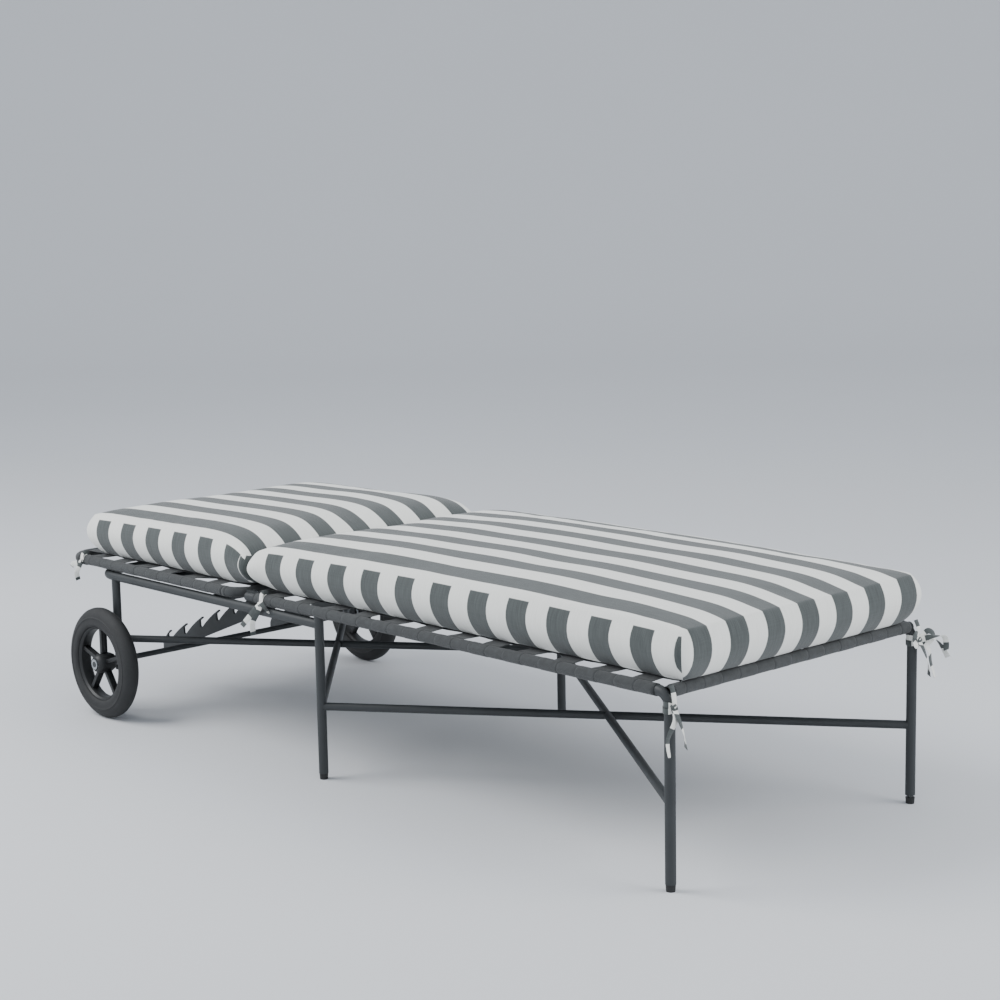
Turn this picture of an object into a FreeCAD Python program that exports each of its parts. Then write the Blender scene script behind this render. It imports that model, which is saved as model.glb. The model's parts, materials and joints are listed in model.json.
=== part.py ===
import FreeCAD, Part
import math
import os

# Reclining sun lounger: a welded tube frame laced with webbing, a backrest that tilts on two pins
# at its foot end, a prop that follows it over two toothed racks, two wheels and four screw feet,
# with a two-part striped mattress on top.
# +X points to the foot end, +Y to the far side, +Z up. The origin is on the ground, under the
# middle of the overall box. Lengths are millimetres and angles are degrees.

SIZES = {
    "overall_length": 1905,        # head bar, outside, to the foot face of the mattress
    "rail_gauge": 669,             # centre to centre of the side rails
    "rail_height": 340,            # centre of the seat and back rails above the ground
    "tube_size": 19,
    "tube_wall": 1.5,
    "leg_bend": 25,
    "foot_rail_inset": 6,
    "mid_leg_setback": 934,        # foot legs to mid legs
    "head_leg_setback": 740,       # mid legs to head legs
    "hinge_setback": 244,          # mid legs to the backrest hinge
    "hinge_to_rail": 27,
    "base_rail_size": 20,
    "rail_stack_gap": 2.5,         # wrapped rail to the base rail under it
    "base_overhang": 70,           # base rail end beyond the head legs
    "base_corner": 60,
    "back_corner": 45,
    "webbing_width": 45,
    "webbing_thickness": 2,
    "edge_share": 0.1,
    "stretcher_size": 16,
    "stretcher_mid_height": 149,   # where both pairs of stretchers meet the mid legs
    "front_stretcher_height": 152,
    "rear_stretcher_height": 174,
    "axle_size": 13,
    "wheel_size": 250,
    "tyre_width": 42,
    "tyre_section": 47.5,
    "rim_lip": 5.5,
    "rim_width": 30,
    "hub_size": 43,
    "hub_width": 48,
    "hub_gap": 6.5,                # leg to hub, filled by a washer
    "spoke_width": 9,
    "bush_wall": 2.5,
    "side_gap": 0.3,
    "running_gap": 0.05,
    "rack_spacing": 310,
    "rack_thickness": 5,
    "rack_angle": 21,
    "rack_tail": 91,               # how far the racks reach past the axle
    "rack_lift": 4,                # lower edge of a rack above the axle centre
    "tooth_tip": 48.6,             # tooth tips above the axle centre, across the rack
    "rod_seat": 5.6,               # radius at the bottom of a notch
    "rack_plain": 106,             # last tooth to the end of the rack
    "rack_shoulder": 50,           # the rack is full height over this length at its end
    "tooth_lip": 3.5,
    "tooth_crown": 1.6,
    "tooth_nose": 3,
    "hinge_plate": 5,
    "hinge_pin_size": 8,
    "plate_gap": 0.5,              # between plates that turn past each other
    "wrap_gap": 2,                 # wrapped rail to the hinge plate
    "eye_land": 6,                 # metal round a pin hole
    "bracket_reach": 14,           # hinge plate beyond the pin
    "bracket_margin": 8,           # hinge plate above the pin and below the base rail
    "bracket_foot_length": 32,
    "bracket_foot_height": 12,
    "lug_height": 14,
    "pin_head_land": 3,
    "pin_head_height": 3,
    "peen_land": 2,
    "peen_height": 2,
    "cheek_thickness": 4,
    "cheek_width": 24,
    "cheek_margin": 10,            # prop cheek below the pivot
    "rod_overreach": 20,           # prop rod beyond the middle of each rack
    "washer_land": 5,
    "prop_setback": 300,           # hinge to the prop's pivot
    "prop_drop": 25,
    "prop_length": 298,
    "prop_fold": 6.5,              # how far the folded prop hangs below level
    "prop_gauge": 270,
    "prop_rod_size": 10,
    "prop_bar_width": 20,
    "prop_bar_thickness": 5,
    "prop_tube_size": 16,
    "prop_tube_drop": 4,
    "foot_height": 12,
    "foot_gap": 0.5,
    "foot_size": 18,
    "stud_size": 6,
    "stud_length": 22,
    "turned_out": 4,               # extra thread showing at the far foot leg
    "cushion_overhang": 40,
    "cushion_side": 10.5,
    "cushion_thickness": 104,
    "cushion_inset": 45,           # head bar centre to the mattress end
    "cushion_gap": 0.3,
    "split_gap": 1,
    "fold_half_angle": 32.5,
    "ribbon_width": 12,
    "ribbon_thickness": 1.5,
    "ribbon_tail": 62,
    "tie_drop": 20,                # rail centre to the end of the strip
    "tie_lap": 2,                  # how far strip and tail reach into the knot
    "tie_gap": 1,                  # strip to the underside of the mattress
}
LONG_STRAPS = 7
SEAT_STRAPS = 12
BACK_STRAPS = 6
TEETH = 6
SPOKES = 5
SIDES = (("near", -1), ("far", 1))

# Places worked out from the sizes, as expressions for the document.
LEG_X = "(sizes.overall_length / 2 - sizes.cushion_overhang)"
MID_X = f"({LEG_X} - sizes.mid_leg_setback)"
HEAD_X = f"({MID_X} - sizes.head_leg_setback)"
HINGE_X = f"({MID_X} - sizes.hinge_setback)"
SEAT_END_X = f"({HINGE_X} + sizes.hinge_to_rail)"
BACK_START_X = f"({HINGE_X} - sizes.hinge_to_rail)"
TUBE_R = "(sizes.tube_size / 2)"
WRAP_R = f"({TUBE_R} + sizes.webbing_thickness)"
BACK_END_X = f"(-sizes.overall_length / 2 + {WRAP_R})"
FOOT_RAIL_X = f"({LEG_X} - sizes.foot_rail_inset)"
BASE_END_X = f"({HEAD_X} - sizes.base_overhang)"
BASE_R = "(sizes.base_rail_size / 2)"
SIDE_Y = "(sizes.rail_gauge / 2)"
RAIL_Z = "sizes.rail_height"
BASE_Z = f"({RAIL_Z} - {WRAP_R} - sizes.rail_stack_gap - {BASE_R})"
AXLE_Z = "(sizes.wheel_size / 2)"
AXLE_R = "(sizes.axle_size / 2)"
LEG_END_Z = "(sizes.foot_height + sizes.foot_gap)"
CORNER_Y = f"({SIDE_Y} - sizes.back_corner)"
STRAP_TOP = f"({RAIL_Z} + {WRAP_R})"
CUSHION_Z = f"({STRAP_TOP} + sizes.cushion_gap)"
CUSHION_Y = f"({SIDE_Y} + sizes.cushion_side)"
HUB_IN_Y = f"({SIDE_Y} + {TUBE_R} + sizes.hub_gap)"
HUB_OUT_Y = f"({HUB_IN_Y} + sizes.hub_width)"
PIVOT_X = f"({HINGE_X} - sizes.prop_setback)"
PIVOT_Z = f"({RAIL_Z} - sizes.prop_drop)"
PROP_TUBE_Z = f"({RAIL_Z} - sizes.prop_tube_drop)"
PROP_TUBE_R = "(sizes.prop_tube_size / 2)"
ROD_X = f"({PIVOT_X} - sizes.prop_length * cos(sizes.prop_fold * 1deg))"
ROD_Z = f"({PIVOT_Z} - sizes.prop_length * sin(sizes.prop_fold * 1deg))"
# The rack tube lies level with the base rail, where the rack's own slope brings the teeth to it.
RACK_COS = "cos(sizes.rack_angle * 1deg)"
RACK_SIN = "sin(sizes.rack_angle * 1deg)"
RACK_RISE = f"({BASE_Z} - {AXLE_Z})"
TUBE_ACROSS = "(sizes.tooth_tip - sizes.rack_lift)"
RACK_RUN = f"(({RACK_RISE} - {TUBE_ACROSS} * {RACK_COS}) / {RACK_SIN})"
RACK_TUBE_X = f"({HEAD_X} + {RACK_RUN} * {RACK_COS} - {TUBE_ACROSS} * {RACK_SIN})"

UPRIGHT = ("0", "0", "0")
ALONG_X = ("0", "90", "0")
ALONG_Y = ("0", "0", "-90")

doc = FreeCAD.newDocument("sun_lounger")
sizes = doc.addObject("Spreadsheet::Sheet", "sizes")
for row, (alias, value) in enumerate(SIZES.items(), start=1):
    sizes.set(f"A{row}", alias)
    sizes.set(f"B{row}", str(value))
    sizes.setAlias(f"B{row}", alias)
doc.recompute()

nodes = {}


def signed(side, value):
    """An expression on the near (-1) or the far (+1) side."""
    return value if side > 0 else f"(-{value})"


def place(piece, at, turn=UPRIGHT):
    x, y, z = at
    yaw, pitch, roll = turn
    piece.setExpression("Placement", f"placement(vector({x}; {y}; {z}); rotation({yaw}; {pitch}; {roll}))")
    return piece


def primitive(kind, name, at, turn, **bindings):
    piece = doc.addObject(kind, name)
    for key, expression in bindings.items():
        piece.setExpression(key, expression)
    return place(piece, at, turn)


def rod(name, radius, length, at, turn=UPRIGHT):
    return primitive("Part::Cylinder", name, at, turn, Radius=radius, Height=length)


def block(name, size, at, turn=UPRIGHT):
    length, width, height = size
    return primitive("Part::Box", name, at, turn, Length=length, Width=width, Height=height)


def bend(name, bend_radius, radius, at, turn):
    """A quarter turn of round bar; it runs from the local +X to the local +Y direction."""
    piece = primitive("Part::Torus", name, at, turn, Radius1=bend_radius, Radius2=radius)
    piece.Angle3 = 90
    return piece


def fuse(name, pieces):
    if len(pieces) == 1:
        return pieces[0]
    joined = doc.addObject("Part::MultiFuse", name)
    joined.Shapes = pieces
    joined.Refine = True
    return joined


def cut(name, base, tools):
    piece = doc.addObject("Part::Cut", name)
    piece.Base = base
    piece.Tool = fuse(f"{name}_tools", tools)
    return piece


def group(name, pieces):
    compound = doc.addObject("Part::Compound", name)
    compound.Links = pieces
    return compound


def keep(node, piece):
    piece.Label = node
    nodes[node] = piece
    return piece


def hollow(name, outline, radius, cutters=()):
    """A tube: outline(tag, radius) gives its solid at any radius, and cutters shape its ends."""
    outer = fuse(f"{name}_outer", outline("outer", radius))
    inner = fuse(f"{name}_inner", outline("inner", f"({radius} - sizes.tube_wall)"))
    return cut(name, outer, [inner, *cutters])


# ---- Seat frame -------------------------------------------------------------------------------
# Each side rail is one bent tube: it runs level and turns down to become the foot leg.
rail_solids = {}
leg_solids = {}


def side_rail(side, sign):
    y = signed(sign, SIDE_Y)
    leg_end = LEG_END_Z if side == "near" else f"({LEG_END_Z} + sizes.turned_out)"
    straight = f"({LEG_X} - sizes.leg_bend - {HINGE_X} - {TUBE_R})"
    drop = f"({RAIL_Z} - sizes.leg_bend - {leg_end})"

    def outline(tag, radius):
        name = f"side_rail_{side}_{tag}"
        return [
            rod(f"{name}_rail", radius, straight, (f"({HINGE_X} + {TUBE_R})", y, RAIL_Z), ALONG_X),
            bend(f"{name}_bend", "sizes.leg_bend", radius,
                 (f"({LEG_X} - sizes.leg_bend)", y, f"({RAIL_Z} - sizes.leg_bend)"), ("0", "0", "90")),
            rod(f"{name}_leg", radius, drop, (LEG_X, y, leg_end)),
        ]

    tube = hollow(f"side_rail_{side}_tube", outline, TUBE_R)
    rail_solids[side] = fuse(f"side_rail_{side}_solid", outline("solid", TUBE_R))
    keep(f"side_rail_{side}", tube)


for side, sign in SIDES:
    side_rail(side, sign)


def cross_tube(name, radius, x, z, cutters):
    """A level tube across the frame, its ends shaped to the rails that it meets."""

    def outline(tag, bar_radius):
        return [rod(f"{name}_{tag}", bar_radius, "sizes.rail_gauge", (x, f"(-{SIDE_Y})", z), ALONG_Y)]

    return hollow(f"{name}_tube", outline, radius, cutters)


keep("foot_rail", cross_tube("foot_rail", TUBE_R, FOOT_RAIL_X, RAIL_Z, list(rail_solids.values())))
keep("seat_head_rail", cross_tube("seat_head_rail", TUBE_R, SEAT_END_X, RAIL_Z, list(rail_solids.values())))
foot_rail_bar = rod("foot_rail_bar", WRAP_R, "sizes.rail_gauge", (FOOT_RAIL_X, f"(-{SIDE_Y})", RAIL_Z), ALONG_Y)
seat_head_bar = rod("seat_head_bar", TUBE_R, "sizes.rail_gauge", (SEAT_END_X, f"(-{SIDE_Y})", RAIL_Z), ALONG_Y)

# ---- Legs and base rail -----------------------------------------------------------------------


def base_outline(tag, radius):
    pieces = []
    straight = f"({MID_X} - {BASE_END_X} - sizes.base_corner)"
    start = f"({BASE_END_X} + sizes.base_corner)"
    reach = f"({SIDE_Y} - sizes.base_corner)"
    for side, sign in SIDES:
        name = f"base_{tag}_{side}"
        yaw = "180" if sign < 0 else "90"
        pieces.append(rod(f"{name}_arm", radius, straight, (start, signed(sign, SIDE_Y), BASE_Z), ALONG_X))
        pieces.append(bend(f"{name}_bend", "sizes.base_corner", radius,
                           (start, signed(sign, reach), BASE_Z), (yaw, "0", "0")))
    pieces.append(rod(f"base_{tag}_end", radius, f"(2 * {reach})", (BASE_END_X, f"(-{reach})", BASE_Z), ALONG_Y))
    return pieces


for side, sign in SIDES:
    leg_solids[side] = rod(f"mid_leg_{side}_solid", TUBE_R, RAIL_Z, (MID_X, signed(sign, SIDE_Y), "0"))
keep("base_rail", hollow("base_rail_tube", base_outline, BASE_R, list(leg_solids.values())))
base_solid = fuse("base_rail_solid", base_outline("solid", BASE_R))
axle_bar = rod("axle_bar", AXLE_R, f"(2 * {HUB_OUT_Y})", (HEAD_X, f"(-{HUB_OUT_Y})", AXLE_Z), ALONG_Y)

for side, sign in SIDES:
    y = signed(sign, SIDE_Y)

    def mid_outline(tag, radius):
        return [rod(f"mid_leg_{side}_{tag}", radius, f"({RAIL_Z} - {LEG_END_Z})", (MID_X, y, LEG_END_Z))]

    def head_outline(tag, radius):
        base = f"({AXLE_Z} - sizes.tube_size)"
        return [rod(f"head_leg_{side}_{tag}", radius, f"({BASE_Z} - {base})", (HEAD_X, y, base))]

    keep(f"mid_leg_{side}", hollow(f"mid_leg_{side}_tube", mid_outline, TUBE_R, [rail_solids[side]]))
    keep(f"head_leg_{side}", hollow(f"head_leg_{side}_tube", head_outline, TUBE_R, [base_solid, axle_bar]))


# Each pair of stretchers crosses: one bar is whole, and the other is two halves welded to it.
def stretcher(name, radius, side, x, z):
    """A bar from a leg at x, z on the given side to the mid leg on the other side."""
    sign = -1 if side == "near" else 1
    run = f"({x} - {MID_X})"
    rise = f"({z} - sizes.stretcher_mid_height)"
    length = f"sqrt({run} ^ 2 + sizes.rail_gauge ^ 2 + {rise} ^ 2)"
    yaw = f"(atan2({signed(sign, 'sizes.rail_gauge')}; {run}) / 1deg)"
    pitch = f"(acos({rise} / {length}) / 1deg)"
    at = (MID_X, signed(-sign, SIDE_Y), "sizes.stretcher_mid_height")
    return rod(name, radius, length, at, (yaw, pitch, "0"))


def stretcher_pair(name, x, z, end_legs):
    radius = "(sizes.stretcher_size / 2)"
    bore = f"({radius} - sizes.tube_wall)"
    legs = [end_legs["near"], end_legs["far"], leg_solids["near"], leg_solids["far"]]
    whole = cut(f"{name}_stretcher_tube", stretcher(f"{name}_whole", radius, "near", x, z),
                [stretcher(f"{name}_whole_bore", bore, "near", x, z), *legs])
    keep(f"{name}_stretcher", whole)
    solid = stretcher(f"{name}_whole_solid", radius, "near", x, z)
    halves = cut(f"{name}_halves_tube", stretcher(f"{name}_crossing", radius, "far", x, z),
                 [stretcher(f"{name}_crossing_bore", bore, "far", x, z), solid, *legs])
    keep(f"{name}_stretcher_halves", halves)


foot_leg_solids = {}
head_leg_solids = {}
for side, sign in SIDES:
    y = signed(sign, SIDE_Y)
    foot_leg_solids[side] = rod(f"foot_leg_{side}_solid", TUBE_R, RAIL_Z, (LEG_X, y, "0"))
    head_leg_solids[side] = rod(f"head_leg_{side}_solid", TUBE_R, RAIL_Z, (HEAD_X, y, "0"))
stretcher_pair("front", LEG_X, "sizes.front_stretcher_height", foot_leg_solids)
stretcher_pair("rear", HEAD_X, "sizes.rear_stretcher_height", head_leg_solids)

# ---- Axle and racks ---------------------------------------------------------------------------
AXLE_END_Y = f"({HUB_OUT_Y} + 3 * sizes.side_gap + sizes.webbing_thickness)"
keep("axle", rod("axle_rod", AXLE_R, f"(2 * {AXLE_END_Y})", (HEAD_X, f"(-{AXLE_END_Y})", AXLE_Z), ALONG_Y))
rack_tube_solid = rod("rack_tube_solid", TUBE_R, "sizes.rail_gauge",
                      (RACK_TUBE_X, f"(-{SIDE_Y})", BASE_Z), ALONG_Y)
keep("rack_tube", cross_tube("rack_tube", TUBE_R, RACK_TUBE_X, BASE_Z, [base_solid]))


def size(alias):
    return float(sizes.get(alias))


def rack_blank(name, y):
    """A toothed plate in the XZ plane: +X along the rack and +Z across it, from the axle centre."""
    slope = math.radians(size("rack_angle"))
    tip = size("tooth_tip")
    lift = size("rack_lift")
    seat = size("rod_seat")
    lip = size("tooth_lip")
    crown = size("tooth_crown")
    depth = size("tooth_nose")
    across = tip - lift
    wrap = size("tube_size") / 2 + size("webbing_thickness")
    base_height = size("rail_height") - wrap - size("rail_stack_gap") - size("base_rail_size") / 2
    rise = base_height - size("wheel_size") / 2
    run = (rise - across * math.cos(slope)) / math.sin(slope)
    first_tip = -size("rack_tail") / 2
    pitch = (run - size("rack_plain") - first_tip) / (TEETH - 1)

    def point(along, up):
        return FreeCAD.Vector(along, 0, up)

    def tail_at(up):
        return point((up * math.sin(slope) - size("rack_tail")) / math.cos(slope), up)

    notch = point(-2.05 * seat, tip - 3 * seat)
    edges = []
    last = tail_at(tip - 4 * seat)
    for tooth in range(TEETH):
        along = first_tip + tooth * pitch
        nose = [point(along - lip, tip), point(along, tip - crown), point(along - depth, tip - depth)]
        bulge = (last + nose[0]) * 0.5 + point(-0.8, 2.5)
        centre = point(along, 0) + notch
        wall = centre + point(-seat, 0)
        low = centre + point(-0.707 * seat, -0.707 * seat)
        out = centre + point(0.245 * seat, -0.97 * seat)
        throat = point(along - 2.5 * seat, tip - 0.96 * seat)
        edges.append(Part.Arc(last, bulge, nose[0]).toShape())
        edges.append(Part.Arc(*nose).toShape())
        edges.append(Part.LineSegment(nose[2], throat).toShape())
        edges.append(Part.LineSegment(throat, wall).toShape())
        edges.append(Part.Arc(wall, low, out).toShape())
        last = out
    corners = [last, point(run - size("rack_shoulder"), across), point(run, across), point(run, lift),
               tail_at(lift), tail_at(tip - 4 * seat)]
    for start, end in zip(corners, corners[1:]):
        edges.append(Part.LineSegment(start, end).toShape())
    face = Part.Face(Part.Wire(edges))
    plate = face.extrude(FreeCAD.Vector(0, size("rack_thickness"), 0))
    blank = doc.addObject("Part::Feature", name)
    blank.Shape = plate
    return place(blank, (HEAD_X, y, AXLE_Z), ("0", "-sizes.rack_angle", "0"))


for side, sign in SIDES:
    y = f"({signed(sign, '(sizes.rack_spacing / 2)')} - sizes.rack_thickness / 2)"
    blank = rack_blank(f"rack_{side}_blank", y)
    keep(f"rack_{side}", cut(f"rack_{side}_plate", blank, [axle_bar, rack_tube_solid]))

# ---- Webbing on the seat ----------------------------------------------------------------------


def sleeve(name, length, at, turn, cutters=()):
    outer = rod(f"{name}_outer", WRAP_R, length, at, turn)
    inner = rod(f"{name}_inner", TUBE_R, length, at, turn)
    return cut(f"{name}_sleeve", outer, [inner, *cutters])


def long_straps(name, start, end, bars):
    """Flat straps along the frame, cut to the wrapped rails at their two ends."""
    clear = f"(sizes.rail_gauge - 2 * {WRAP_R})"
    pitch = f"({clear} / ({LONG_STRAPS} + sizes.edge_share))"
    straps = []
    for index in range(LONG_STRAPS):
        y = f"(({index} - {LONG_STRAPS - 1} / 2) * {pitch} - sizes.webbing_width / 2)"
        z = f"({RAIL_Z} + {TUBE_R} - sizes.webbing_thickness)"
        extent = (f"({end} - {start})", "sizes.webbing_width", "sizes.webbing_thickness")
        straps.append(block(f"{name}_{index}", extent, (start, y, z)))
    return [cut(f"{name}_{index}_cut", strap, bars) for index, strap in enumerate(straps)]


def cross_straps(name, count, start, end, sleeves):
    """Flat straps across the frame on top of the long ones, from rail to rail."""
    pitch = f"(({end} - {start} - 2 * {WRAP_R}) / ({count} + sizes.edge_share))"
    reach = f"({SIDE_Y} - 2 * sizes.webbing_thickness)"
    straps = []
    for index in range(count):
        centre = f"({start} + {WRAP_R} + ({index} + (1 + sizes.edge_share) / 2) * {pitch})"
        size_of = ("sizes.webbing_width", f"(2 * {reach})", "sizes.webbing_thickness")
        strap = block(f"{name}_{index}", size_of,
                      (f"({centre} - sizes.webbing_width / 2)", f"(-{reach})", f"({RAIL_Z} + {TUBE_R})"))
        straps.append(cut(f"{name}_{index}_cut", strap, sleeves))
    return straps


seat_bars = [rod(f"seat_wrapped_{side}", WRAP_R, f"({LEG_X} - {HINGE_X})", (HINGE_X, signed(sign, SIDE_Y), RAIL_Z),
                 ALONG_X) for side, sign in SIDES]
seat_head_wrapped = rod("seat_head_wrapped", WRAP_R, "sizes.rail_gauge",
                        (SEAT_END_X, f"(-{SIDE_Y})", RAIL_Z), ALONG_Y)
WRAP_START_X = f"({SEAT_END_X} + {WRAP_R} + sizes.webbing_thickness)"
WRAP_END_X = f"({LEG_X} - sizes.leg_bend - sizes.webbing_thickness)"
side_wraps = [sleeve(f"seat_wrap_{side}", f"({WRAP_END_X} - {WRAP_START_X})",
                     (WRAP_START_X, signed(sign, SIDE_Y), RAIL_Z), ALONG_X, [leg_solids[side]])
              for side, sign in SIDES]
keep("seat_side_wraps", group("seat_side_wrap_set", side_wraps))
inner_span = f"({SIDE_Y} - {TUBE_R})"
foot_wrap = sleeve("foot_rail_wrap", f"(2 * {inner_span})", (FOOT_RAIL_X, f"(-{inner_span})", RAIL_Z),
                   ALONG_Y, list(rail_solids.values()))
PLATE_IN_Y = f"({SIDE_Y} - {WRAP_R} - sizes.wrap_gap - sizes.hinge_plate)"
head_span = f"({PLATE_IN_Y} - sizes.webbing_thickness)"
head_wrap = sleeve("seat_head_wrap", f"(2 * {head_span})", (SEAT_END_X, f"(-{head_span})", RAIL_Z), ALONG_Y)
keep("seat_end_wraps", group("seat_end_wrap_set", [foot_wrap, head_wrap]))
keep("seat_long_straps", group("seat_long_strap_set", long_straps(
    "seat_long", SEAT_END_X, FOOT_RAIL_X, [foot_rail_bar, seat_head_wrapped])))
keep("seat_cross_straps", group("seat_cross_strap_set", cross_straps(
    "seat_cross", SEAT_STRAPS, SEAT_END_X, FOOT_RAIL_X, seat_bars)))

# ---- Backrest frame ---------------------------------------------------------------------------


def corner_outline(name, x, yaws, inward, radius):
    """A cross bar with a quarter bend at each end; the bends lead off along the frame."""
    bar = rod(f"{name}_bar", radius, f"(2 * {CORNER_Y})", (x, f"(-{CORNER_Y})", RAIL_Z), ALONG_Y)
    pieces = [bar]
    for (side, sign), yaw in zip(SIDES, yaws):
        at = (f"({x} + {inward} * sizes.back_corner)", signed(sign, CORNER_Y), RAIL_Z)
        pieces.append(bend(f"{name}_{side}", "sizes.back_corner", radius, at, (yaw, "0", "0")))
    return pieces


BACK_ENDS = {"back_head_rail": (BACK_END_X, ("180", "90"), 1), "back_foot_rail": (BACK_START_X, ("270", "0"), -1)}
back_start = f"({BACK_END_X} + sizes.back_corner)"
back_length = f"({BACK_START_X} - sizes.back_corner - {back_start})"
prop_tube_bar = rod("prop_tube_bar", PROP_TUBE_R, "sizes.rail_gauge", (PIVOT_X, f"(-{SIDE_Y})", PROP_TUBE_Z),
                    ALONG_Y)
end_solids = {}
for node, (x, yaws, inward) in BACK_ENDS.items():

    def outline(tag, radius):
        return corner_outline(f"{node}_{tag}", x, yaws, inward, radius)

    end_solids[node] = fuse(f"{node}_solid", outline("solid", TUBE_R))
    keep(node, hollow(f"{node}_tube", outline, TUBE_R))
back_bars = []
for side, sign in SIDES:

    def outline(tag, radius):
        return [rod(f"back_rail_{side}_{tag}", radius, back_length, (back_start, signed(sign, SIDE_Y), RAIL_Z),
                    ALONG_X)]

    keep(f"back_rail_{side}", hollow(f"back_rail_{side}_tube", outline, TUBE_R))
    back_bars.extend(outline("solid", TUBE_R))
keep("prop_tube", cut("prop_tube_ends", rod("prop_tube_outer", PROP_TUBE_R, "sizes.rail_gauge",
                                            (PIVOT_X, f"(-{SIDE_Y})", PROP_TUBE_Z), ALONG_Y),
                      [rod("prop_tube_bore", f"({PROP_TUBE_R} - sizes.tube_wall)", "sizes.rail_gauge",
                           (PIVOT_X, f"(-{SIDE_Y})", PROP_TUBE_Z), ALONG_Y), *back_bars]))

# ---- Hinges -----------------------------------------------------------------------------------
LUG_OUT_Y = f"({PLATE_IN_Y} - sizes.plate_gap)"
LUG_IN_Y = f"({LUG_OUT_Y} - sizes.hinge_plate)"
PIN_R = "(sizes.hinge_pin_size / 2)"
EYE_R = f"({PIN_R} + sizes.eye_land)"
PLATE_DROP = f"({RAIL_Z} - {BASE_Z} + sizes.bracket_margin)"
HEAD_LAND_R = f"({PIN_R} + sizes.pin_head_land)"
PEEN_R = f"({PIN_R} + sizes.peen_land)"
DRILL_LENGTH = "(8 * sizes.hinge_plate)"


def across(name, radius, start, length, sign, x, z):
    """A round bar along Y on one side of the frame; start is its end nearer the middle."""
    y = start if sign > 0 else f"(-{start} - {length})"
    return rod(name, radius, length, (x, y, z), ALONG_Y)


def slab(name, start, thickness, sign, x, length, z, height):
    """An upright plate on one side of the frame; start is its face nearer the middle."""
    y = start if sign > 0 else f"(-{start} - {thickness})"
    return block(name, (length, thickness, height), (x, y, z))


brackets = []
lugs = []
pins = []
for side, sign in SIDES:
    plate = slab(f"bracket_plate_{side}", PLATE_IN_Y, "sizes.hinge_plate", sign,
                 f"({HINGE_X} - sizes.bracket_reach)", "(sizes.hinge_to_rail + sizes.bracket_reach)",
                 f"({RAIL_Z} - {PLATE_DROP})", f"({PLATE_DROP} + sizes.bracket_margin)")
    foot = slab(f"bracket_foot_{side}", f"({PLATE_IN_Y} + sizes.hinge_plate)",
                f"({SIDE_Y} - {PLATE_IN_Y} - sizes.hinge_plate)", sign, HINGE_X,
                "sizes.bracket_foot_length", f"({BASE_Z} - sizes.bracket_foot_height / 2)",
                "sizes.bracket_foot_height")
    hole = across(f"bracket_hole_{side}", PIN_R, f"({LUG_IN_Y} - 2 * sizes.hinge_plate)", DRILL_LENGTH, sign,
                  HINGE_X, RAIL_Z)
    brackets.append(cut(f"hinge_bracket_{side}_solid", fuse(f"bracket_blank_{side}", [plate, foot]),
                        [base_solid, seat_head_bar, hole]))
    arm = slab(f"lug_arm_{side}", LUG_IN_Y, "sizes.hinge_plate", sign,
               f"({BACK_START_X} - {TUBE_R})", f"(sizes.hinge_to_rail + {TUBE_R})", 
               f"({RAIL_Z} - sizes.lug_height / 2)", "sizes.lug_height")
    eye = across(f"lug_eye_{side}", EYE_R, LUG_IN_Y, "sizes.hinge_plate", sign, HINGE_X, RAIL_Z)
    bore = across(f"lug_bore_{side}", f"({PIN_R} + sizes.running_gap)", f"({LUG_IN_Y} - 2 * sizes.hinge_plate)",
                  DRILL_LENGTH, sign, HINGE_X, RAIL_Z)
    lugs.append(cut(f"back_lug_{side}_solid", fuse(f"lug_blank_{side}", [arm, eye]),
                    [end_solids["back_foot_rail"], bore]))
    inner = f"({LUG_IN_Y} - sizes.side_gap)"
    shaft = across(f"hinge_pin_shaft_{side}", PIN_R, inner,
                   f"({PLATE_IN_Y} + sizes.hinge_plate + sizes.peen_height - {inner})", sign, HINGE_X, RAIL_Z)
    head = across(f"hinge_pin_head_{side}", HEAD_LAND_R, f"({inner} - sizes.pin_head_height)",
                  "sizes.pin_head_height", sign, HINGE_X, RAIL_Z)
    peen = across(f"hinge_pin_peen_{side}", PEEN_R, f"({PLATE_IN_Y} + sizes.hinge_plate)",
                  "sizes.peen_height", sign, HINGE_X, RAIL_Z)
    pins.append(fuse(f"hinge_pin_{side}_solid", [shaft, head, peen]))
keep("hinge_brackets", group("hinge_bracket_set", brackets))
keep("back_lugs", group("back_lug_set", lugs))
keep("hinge_pins", group("hinge_pin_set", pins))

# ---- Webbing on the backrest ------------------------------------------------------------------
lug_blocks = [slab(f"lug_clear_{side}", f"({LUG_IN_Y} - 2 * sizes.plate_gap)",
                   "(sizes.hinge_plate + 4 * sizes.plate_gap)", sign, f"({BACK_START_X} - sizes.tube_size)",
                   "(3 * sizes.tube_size)", f"({RAIL_Z} - sizes.lug_height)", "(2 * sizes.lug_height)")
              for side, sign in SIDES]
for node, (x, yaws, inward) in BACK_ENDS.items():
    outers = corner_outline(f"{node}_wrap_o", x, yaws, inward, WRAP_R)
    inners = corner_outline(f"{node}_wrap_i", x, yaws, inward, TUBE_R)
    wraps = []
    for index, (outer, inner) in enumerate(zip(outers, inners)):
        tools = [inner, *lug_blocks] if node == "back_foot_rail" else [inner]
        wraps.append(cut(f"{node}_wrap_{index}", outer, tools))
    keep(node.replace("rail", "wrap"), group(f"{node}_wrap_set", wraps))
side_wraps = [sleeve(f"back_wrap_{side}", back_length, (back_start, signed(sign, SIDE_Y), RAIL_Z), ALONG_X,
                     [prop_tube_bar]) for side, sign in SIDES]
keep("back_side_wraps", group("back_side_wrap_set", side_wraps))
back_wrapped = [rod(f"back_wrapped_{side}", WRAP_R, back_length, (back_start, signed(sign, SIDE_Y), RAIL_Z), ALONG_X)
                for side, sign in SIDES]
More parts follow.
